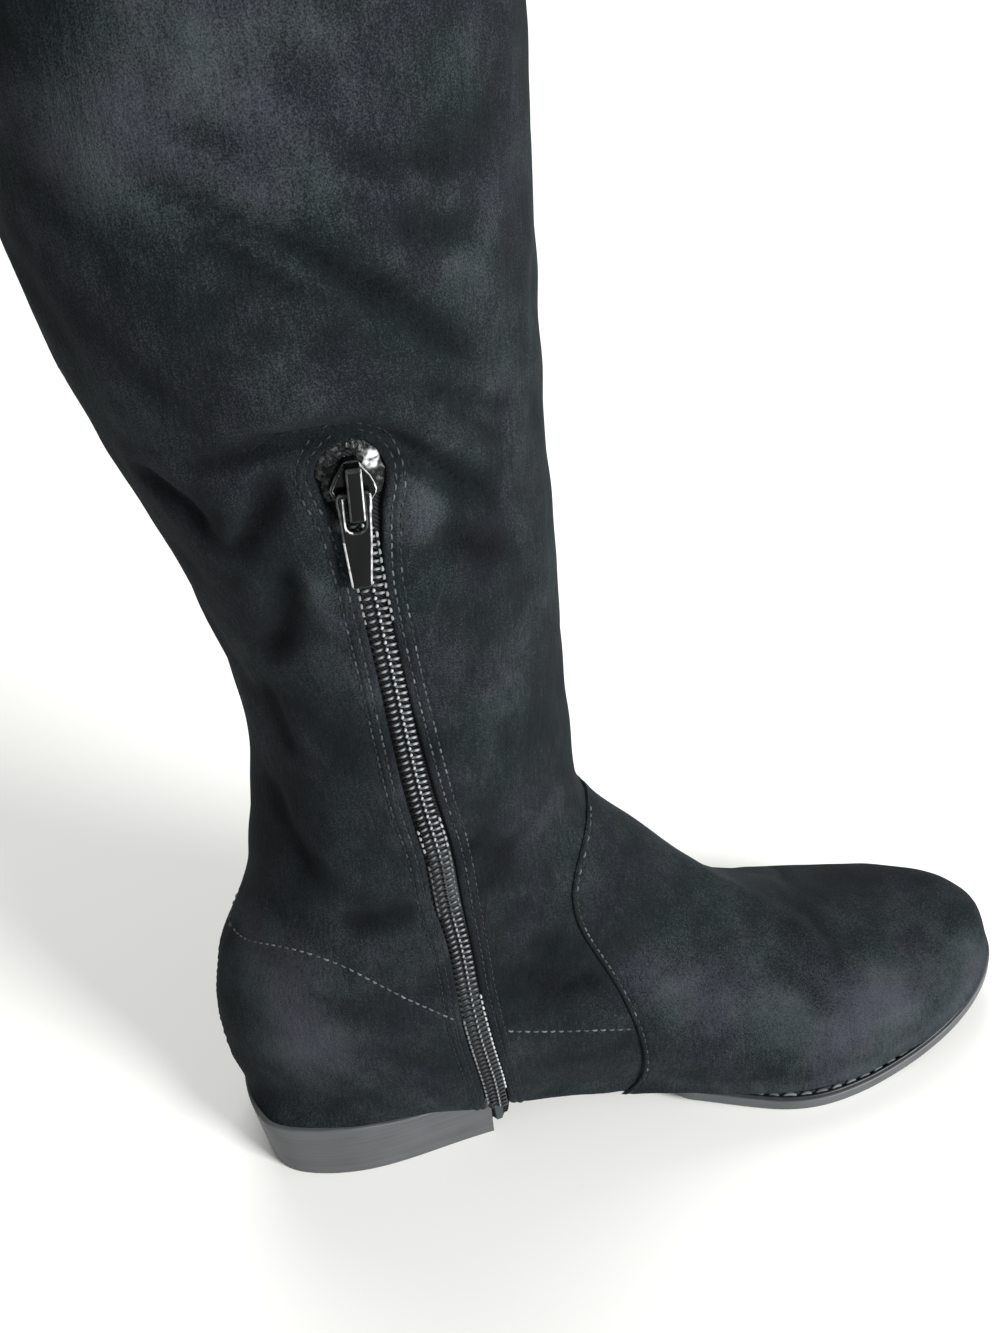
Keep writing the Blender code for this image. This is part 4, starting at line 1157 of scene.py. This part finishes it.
def markLitEdges(piece, spots):      # painted highlight, face by face: bright bare metal drawn on the rounded edges that face the light
    litEdge = []
    for face in piece.data.polygons:
        edge = 0.2 < face.normal.z < 0.97
        near = max((strength for side, low, high, strength in spots
                    if side * face.normal.x > 0.25 and low < face.center.y < high and edge), default=0.0)
        litEdge.append(max(near, 0.04 if edge else 0.0))
    return markMesh(piece, "litEdge", litEdge, "FACE")


def sliderFrame():      # matrix from the slider's millimetres to the frame, from the hinge's own record
    hinge = next(joint for joint in frame["record"]["behaviour"]["joints"] if joint["name"] == "pull_hinge")
    out = Vector(onLast(*slider["over"])[1][0])
    across = -Vector(hinge["axis"]).normalized()
    out = (out - across * out.dot(across)).normalized()
    up = out.cross(across)
    seat = across * slider["aside"] + up * (slider["upward"] - slider["hingeAlong"])
    seat = seat - out * slider["hingeOut"]
    turn = Matrix((across, up, out)).transposed().to_4x4()
    return Matrix.Translation(Vector(hinge["pos_m"]) + seat * mm) @ turn @ Matrix.Scale(mm, 4)


sliderPlace = sliderFrame()


def makeSlider():
    half = slider["bridgeHalf"]
    body = rounded(plate(slider["body"], slider["low"], slider["high"]), slider["rounding"])
    insetFace(body, slider["high"], *slider["rim"])
    combine(body, rounded(plate(slider["bridge"], -half, half, True), slider["bridgeRounding"]), "UNION")
    markLitEdges(body, slider["litEdge"]).data.transform(sliderPlace)
    return body


def makeTab():
    thick = tab["thick"] / 2.0
    piece = plate(mirrored(tab["outline"]), -thick, thick)
    combine(piece, plate(mirrored(tab["window"]), -2.0, 2.0), "DIFFERENCE")
    rounded(piece, tab["rounding"], 35.0)
    hinge = Matrix.Translation((tab["aside"], slider["hingeAlong"], slider["hingeOut"]))
    markLitEdges(piece, tab["litEdge"]).data.transform(sliderPlace @ hinge)
    return piece


# finishes

def toLinear(colour):      # "#rrggbb" to linear light
    parts = [int(colour[at:at + 2], 16) / 255.0 for at in (1, 3, 5)]
    return tuple(c / 12.92 if c <= 0.04045 else ((c + 0.055) / 1.055) ** 2.4 for c in parts) + (1.0,)


def addNode(tree, kind, inputs=None, out=0, **settings):      # a shader node; hands back one of its outputs
    node = tree.nodes.new("ShaderNode" + kind)
    for name, value in settings.items():
        setattr(node, name, value)
    for socket, value in (inputs or {}).items():
        if isinstance(value, bpy.types.NodeSocket):
            tree.links.new(value, node.inputs[socket])
        else:
            node.inputs[socket].default_value = value
    return node.outputs[out]


def ownPlace(tree):
    return addNode(tree, "TexCoord", out="Object")


def grain(tree, place, size, detail, roughness=0.5):      # noise whose cells are this many mm
    return addNode(tree, "TexNoise", {
        "Vector": place, "Scale": 1000.0 / size, "Detail": detail, "Roughness": roughness}, "Fac")


def marked(tree, name):      # what markMesh left on the piece
    return addNode(tree, "Attribute", out="Fac", attribute_name=name)


def reckon(tree, operation, *values):
    return addNode(tree, "Math", dict(enumerate(values)), operation=operation)


def spread(tree, value, low, high, start=0.0, end=1.0):      # from start..end to low..high
    return addNode(tree, "MapRange", {
        "Value": value, "From Min": start, "From Max": end, "To Min": low, "To Max": high})


def blendOf(tree, share, under, over, kind="MIX"):      # two colours
    return addNode(tree, "Mix", {0: share, 6: under, 7: over}, 2, data_type="RGBA", blend_type=kind)


def ramp(tree, share, first, last, *between):      # each a place and its colour
    colour = addNode(tree, "ValToRGB", {"Fac": share})
    elements = colour.node.color_ramp.elements
    for at, (place, shade) in enumerate((first, last)):
        elements[at].position, elements[at].color = place, toLinear(shade)
    for place, shade in between:
        elements.new(place).color = toLinear(shade)
    return colour


def bumped(tree, height, strength, distance=0.0003):
    return addNode(tree, "Bump", {"Strength": strength, "Distance": distance, "Height": height})


def makeFinish(name, constants, makeNodes=None):      # makeNodes gives what drives the sockets that vary
    made = bpy.data.materials.new(name)
    made.use_nodes = True
    tree = made.node_tree
    shader = tree.nodes["Principled BSDF"]
    for socket, value in constants.items():
        shader.inputs[socket].default_value = value
    for socket, source in (makeNodes(tree) if makeNodes else {}).items():
        tree.links.new(source, shader.inputs[socket])
    return made


suede = {
    "deep": "#050607", "mid": "#15191b", "lightest": "#3a3e42",
    "casts": ("#f6f0fa", "#ffffff", "#eef8f4"),      # faint violet and green in its black
    "clouds": 30.0,          # mm, large soft patches of brushed nap
    "mottle": 8.0,           # mm, finger marks in it
    "dye": 21.0,             # mm, patches of each cast
    "nap": 1.0, "napLength": 6.0,      # mm, a brush streak
    "lean": 25.0,            # degrees, of the brushing
    "tuft": 0.42,            # mm, drawn coarser than the real 0.1 so that it shows
    "bump": 0.7,
    "shares": (0.5, 0.3, 0.22, 0.8),      # of clouds, mottle, streaks and tufts in its shade
}


def suedeNodes(tree):
    place = ownPlace(tree)
    leaned = addNode(tree, "Mapping", {
        "Vector": place, "Rotation": (0.0, math.radians(suede["lean"]), 0.0),
        "Scale": (1.0, 1.0, suede["nap"] / suede["napLength"])})
    streak, tuft = grain(tree, leaned, suede["nap"], 1.0), grain(tree, place, suede["tuft"], 1.0)
    # the marked value carries painted shade in the folds and painted light in patches, as well as rubbed nap
    shade = marked(tree, "rubAndShade")
    cloud, mottle = grain(tree, place, suede["clouds"], 1.5), grain(tree, place, suede["mottle"], 2.0)
    for layer, amount in zip((cloud, mottle, streak, tuft), suede["shares"]):
        shade = reckon(tree, "MULTIPLY_ADD", reckon(tree, "SUBTRACT", layer, 0.5), amount, shade)
    colour = ramp(tree, shade, (0.0, suede["deep"]), (1.0, suede["lightest"]), (0.45, suede["mid"]))
    violet, plain, green = suede["casts"]
    cast = ramp(tree, grain(tree, place, suede["dye"], 1.0), (0.36, violet), (0.64, green), (0.5, plain))
    return {"Base Color": blendOf(tree, 1.0, colour, cast, "MULTIPLY"),
            "Normal": bumped(tree, reckon(tree, "ADD", tuft, streak), suede["bump"])}


def liningNodes(tree):
    fine = grain(tree, ownPlace(tree), 0.8, 2.0)
    return {"Base Color": ramp(tree, fine, (0.0, "#191a1c"), (1.0, "#2c2e31")),
            "Normal": bumped(tree, fine, 0.3, 0.0002)}


def paleNodes(dark, light):      # from one colour to the other as markMesh says
    return lambda tree: {"Base Color": blendOf(tree, marked(tree, "pale"), toLinear(dark), toLinear(light))}


rubber = {
    "dark": "#3a3c3e", "light": "#4b4d4f", "bump": 0.06,
    "line": 0.55, "lineLength": 45.0, "smudge": 16.0,      # mm
    "smudges": 0.6,          # their share in its shade
}


def rubberNodes(tree):
    place = ownPlace(tree)
    flat = rubber["line"] / rubber["lineLength"]
    lines = grain(tree, addNode(tree, "Mapping", {"Vector": place, "Scale": (flat, flat, 1.0)}),
                  rubber["line"], 3.0, 0.6)
    smudge = grain(tree, place, rubber["smudge"], 4.0)
    both = reckon(tree, "MULTIPLY_ADD", smudge, rubber["smudges"], lines)
    return {"Base Color": ramp(tree, both, (0.5, rubber["dark"]), (1.0, rubber["light"])),
            "Roughness": spread(tree, smudge, 0.42, 0.62), "Normal": bumped(tree, lines, rubber["bump"])}


def weltNodes(tree):
    scuff = grain(tree, ownPlace(tree), 5.0, 5.0)
    return {"Base Color": ramp(tree, scuff, (0.4, "#101113"), (0.8, "#24272a"))}


def tapeNodes(tree):
    place = addNode(tree, "UVMap", uv_map="weave")
    ribs = addNode(tree, "TexWave", {"Vector": place, "Scale": 0.5, "Distortion": 0.5, "Detail": 1.0}, "Fac",
                   wave_type="BANDS", bands_direction="DIAGONAL")
    colour = ramp(tree, ribs, (0.0, "#060707"), (1.0, "#1f2224"))
    return {"Base Color": blendOf(tree, marked(tree, "cover"), colour, toLinear("#3c4142")),
            "Normal": bumped(tree, ribs, 0.5, 0.0002)}


def filmNodes(tree):
    lint = grain(tree, ownPlace(tree), 1.1, 5.0, 0.7)
    colour = ramp(tree, lint, (0.5, "#0a0c0c"), (0.84, "#585f5d"))
    return {"Base Color": blendOf(tree, marked(tree, "paintedGlare"), colour, toLinear("#d8dcdc")),
            "Roughness": spread(tree, lint, 0.14, 0.5, 0.4, 0.7), "Normal": bumped(tree, lint, 0.4)}


def enamelNodes(tree):
    scuff = grain(tree, ownPlace(tree), 1.6, 3.0)
    # painted highlight: edges facing the light are drawn as bright bare metal, broken up by the scuff noise
    edgeLight = reckon(tree, "MULTIPLY", marked(tree, "litEdge"), spread(tree, scuff, 0.35, 1.0, 0.3, 0.6))
    return {"Base Color": blendOf(tree, edgeLight, toLinear("#060707"), toLinear("#c4c6c6")),
            "Metallic": reckon(tree, "MULTIPLY", edgeLight, 0.35), "Roughness": spread(tree, scuff, 0.12, 0.28)}


sewing = {"Roughness": 0.6, "Specular IOR Level": 0.2}
finishes = {
    # brushed polyester: no gloss, a soft light rim where the nap stands off the cloth
    "suede": makeFinish("microsuede", {
        "Roughness": 0.95, "Specular IOR Level": 0.05, "Sheen Weight": 0.04, "Sheen Roughness": 0.5,
        "Sheen Tint": toLinear("#aab4bd")}, suedeNodes),
    # warp-knit polyester: matt, with a fine grain
    "lining": makeFinish("knit lining", {
        "Roughness": 0.9, "Specular IOR Level": 0.25, "Sheen Weight": 0.15, "Sheen Roughness": 0.4},
        liningNodes),
    # black: most of it sinks into the nap; pale stitches are painted highlights, where thread catches the
    # light
    "thread": makeFinish("bonded nylon thread", sewing, paleNodes("#101315", "#5c6265")),
    "zipThread": makeFinish("polyester zip thread", sewing, paleNodes("#0c0d0e", "#c6cbcd")),
    # thermoplastic, cast with a faint stacked-leather grain: satin, mid grey, fine level lines
    "rubber": makeFinish("cast sole rubber", {"Specular IOR Level": 0.4}, rubberNodes),
    # PVC: black, satin, scuffed a little along its edge
    "welt": makeFinish("extruded welt", {"Roughness": 0.45, "Specular IOR Level": 0.4}, weltNodes),
    # polyester: matt, herringbone rows about 0.7 mm apart
    "tape": makeFinish("woven zip tape", {"Roughness": 0.85, "Specular IOR Level": 0.1}, tapeNodes),
    # monofilament: smooth and dark; the pale on its upper strands and heads is a painted highlight, where
    # light catches the loops that stand proud
    "coil": makeFinish("dyed nylon coil", {
        "Roughness": 0.32, "IOR": 1.53, "Specular IOR Level": 0.12}, paleNodes("#08090a", "#b4babd")),
    # polyurethane: crumpled and glossy, with lint caught in it, and a painted reflection at one top corner
    "film": makeFinish("heat pressed film", {"IOR": 1.5, "Specular IOR Level": 0.16}, filmNodes),
    # glossy black sprayed faces; the bright metal on the edges that face the light is a painted highlight
    "enamel": makeFinish("enamel on zinc with painted edge highlights", {"Specular IOR Level": 0.12}, enamelNodes),
}
print("finishes made")

# how light or dark the suede is drawn, rubbed nap together with painted light and shade: the folds' troughs
# painted darker as shade, their ridges a little lighter, a lighter band just above the welt, and patches
nap = {
    "plain": 0.45, "shadeInFolds": 0.18, "wornAndLitOnFolds": 0.03,
    "byEdge": 0.18, "edgeUp": 3.0, "edgeWidth": 4.0, "edgeFrom": 140.0,      # just above the welt
    # lighter or darker patches, partly rubbed nap and partly painted light and shade: x, z, radius, strength
    "inner": [(165, 42, 17, 0.18), (187, 34, 16, 0.18), (142, 52, 16, 0.2), (214, 28, 20, 0.42),
              (250, 27, 14, 0.26), (81, 254, 9, 0.27), (52, 232, 8, 0.12), (50, 362, 24, 0.27),
              (86, 352, 22, 0.1), (22, 345, 17, 0.34), (104, 318, 13, 0.2), (66, 298, 13, -0.1),
              (100, 70, 14, -0.2), (22, 62, 20, 0.3), (20, 92, 17, 0.34), (30, 150, 16, -0.04),
              (36, 205, 22, 0.12), (86, 130, 13, -0.12), (40, 252, 12, -0.12)],
    "outer": [(219, 38, 15, -0.21), (180, 50, 24, -0.15), (236, 22, 16, 0.15), (60, 330, 30, 0.12)],
}


def markWearAndShade(piece):
    points = np.empty(len(piece.data.vertices) * 3)
    piece.data.vertices.foreach_get("co", points)
    points = points.reshape(-1, 3) / mm + (boot["heelCentre"], 0.0, 0.0)
    folds = creaseLift(points)
    # painted shade in the folds' troughs, and a little painted light with wear on their ridges
    rubAndShade = nap["plain"] + nap["shadeInFolds"] * np.clip(folds, -2.5, 0.0)
    rubAndShade += nap["wornAndLitOnFolds"] * np.clip(folds, 0.0, 2.0)
    for side in ("inner", "outer"):
        for x, z, radius, strength in nap[side]:
            away = np.linalg.norm(points - onLast(x, z, side)[0][0], axis=1)
            rubAndShade += strength * bell(away, radius)
    above = points[:, 2] - featherLine(points[:, 0])
    rubAndShade += nap["byEdge"] * bell(above, nap["edgeWidth"], nap["edgeUp"]) * (points[:, 0] > nap["edgeFrom"])
    markMesh(piece, "rubAndShade", rubAndShade)


def wear(piece, name, kinds, nodes, body="boot", angle=40.0):      # its finish, name, body and solids
    pickOnly(piece)
    bpy.ops.object.shade_smooth_by_angle(angle=math.radians(angle))
    piece.name = piece.data.name = name
    for kind in kinds:
        piece.data.materials.append(finishes[kind])
    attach(piece, body)
    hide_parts(*nodes)
    return piece


markWearAndShade(wear(makeShaft(), "shaft", ("suede", "lining"), ["upper"]))
markWearAndShade(wear(makeVamp(), "vamp", ("suede", "lining"), ["upper"]))
wear(makeStitches(), "seam_stitches", ("thread",), [])
print("upper made")
wear(makeOutsole(), "outsole_unit", ("rubber",), ["outsole"], angle=50.0)
wear(makeHeel(), "heel_block", ("rubber",), ["heel"], angle=50.0)
wear(makeWelt(), "welt_strip", ("welt",), ["welt"], angle=50.0)
wear(makeWeltStitches(), "welt_stitches", ("thread",), [])
wear(makeInsole(), "insole_sock", ("lining",), ["insole"], angle=50.0)
print("sole made")
wear(makeTape(), "tape_cloth", ("tape",), ["zip_tape"])
wear(makeCoil(1), "coil_front", ("coil",), ["zip_chain"], angle=80.0)
wear(makeCoil(-1), "coil_back", ("coil",), ["zip_chain"], angle=80.0)
wear(makeZipThreads(), "coil_threads", ("zipThread",), [])
wear(makeFilm(), "end_film", ("film",), ["zip_end_patch"], angle=25.0)
wear(makeSlider(), "slider_body", ("enamel",), ["zip_slider"], angle=25.0)
wear(makeTab(), "pull_tab", ("enamel",), ["zip_pull"], "pull", angle=25.0)
print("zip made")


# floor, light and camera

studio = {
    "floor": "#ecece9", "sky": "#ffffff", "skyStrength": 0.38,
    # place in mm from the boot's middle, size in mm, power in watts, aimed at the boot's ankle
    "lamps": [
        ("window", (1700, -2000, 1000), 900, 155.0),
        ("far paper", (300, 2300, 2600), 2500, 85.0),
    ],
    "aim": (40, -20, 170),
}
view = {      # degrees round the boot, down and rolled, and the camera's place in mm
    "turn": -8.24, "down": 33.22, "roll": -6.29,
    "place": (6.92, -385.02, 423.49), "lens": 41.82, "sensor": 36.0,
}


def makeStudio():
    bpy.ops.mesh.primitive_plane_add(size=8.0)
    floor = bpy.context.object
    floor.name = "floor"
    # matt seamless paper: no gloss, just off white
    floor.data.materials.append(makeFinish("seamless paper", {
        "Base Color": toLinear(studio["floor"]), "Roughness": 0.95, "Specular IOR Level": 0.1}))
    world = bpy.data.worlds.new("studio air")
    world.use_nodes = True
    air = world.node_tree.nodes["Background"]
    air.inputs["Color"].default_value = toLinear(studio["sky"])
    air.inputs["Strength"].default_value = studio["skyStrength"]
    bpy.context.scene.world = world
    for name, place, size, power in studio["lamps"]:
        bpy.ops.object.light_add(type="AREA", location=Vector(place) * mm)
        lamp = bpy.context.object
        lamp.name = name
        lamp.data.shape, lamp.data.size, lamp.data.energy = "SQUARE", size * mm, power
        way = (Vector(studio["aim"]) - Vector(place)) * mm
        lamp.rotation_euler = way.to_track_quat("-Z", "Y").to_euler()


def makeCamera():
    turn, down, roll = (math.radians(view[item]) for item in ("turn", "down", "roll"))
    back = Vector((math.sin(turn) * math.cos(down), -math.cos(turn) * math.cos(down), math.sin(down)))
    right = (-back).cross(Vector((0.0, 0.0, 1.0))).normalized()
    up = right.cross(-back)
    rolledRight = right * math.cos(roll) + up * math.sin(roll)
    rolledUp = up * math.cos(roll) - right * math.sin(roll)
    bpy.ops.object.camera_add()
    camera = bpy.context.object
    camera.name = "camera"
    camera.data.sensor_fit, camera.data.sensor_width = "AUTO", view["sensor"]
    camera.data.lens, camera.data.clip_start = view["lens"], 0.01
    camera.data.dof.use_dof = False
    turned = Matrix((rolledRight, rolledUp, back)).transposed().to_4x4()
    camera.matrix_world = Matrix.Translation(Vector(view["place"]) * mm) @ turned
    bpy.context.scene.camera = camera


makeStudio()
makeCamera()
bpy.context.scene.view_settings.view_transform = "Standard"
print("studio made")
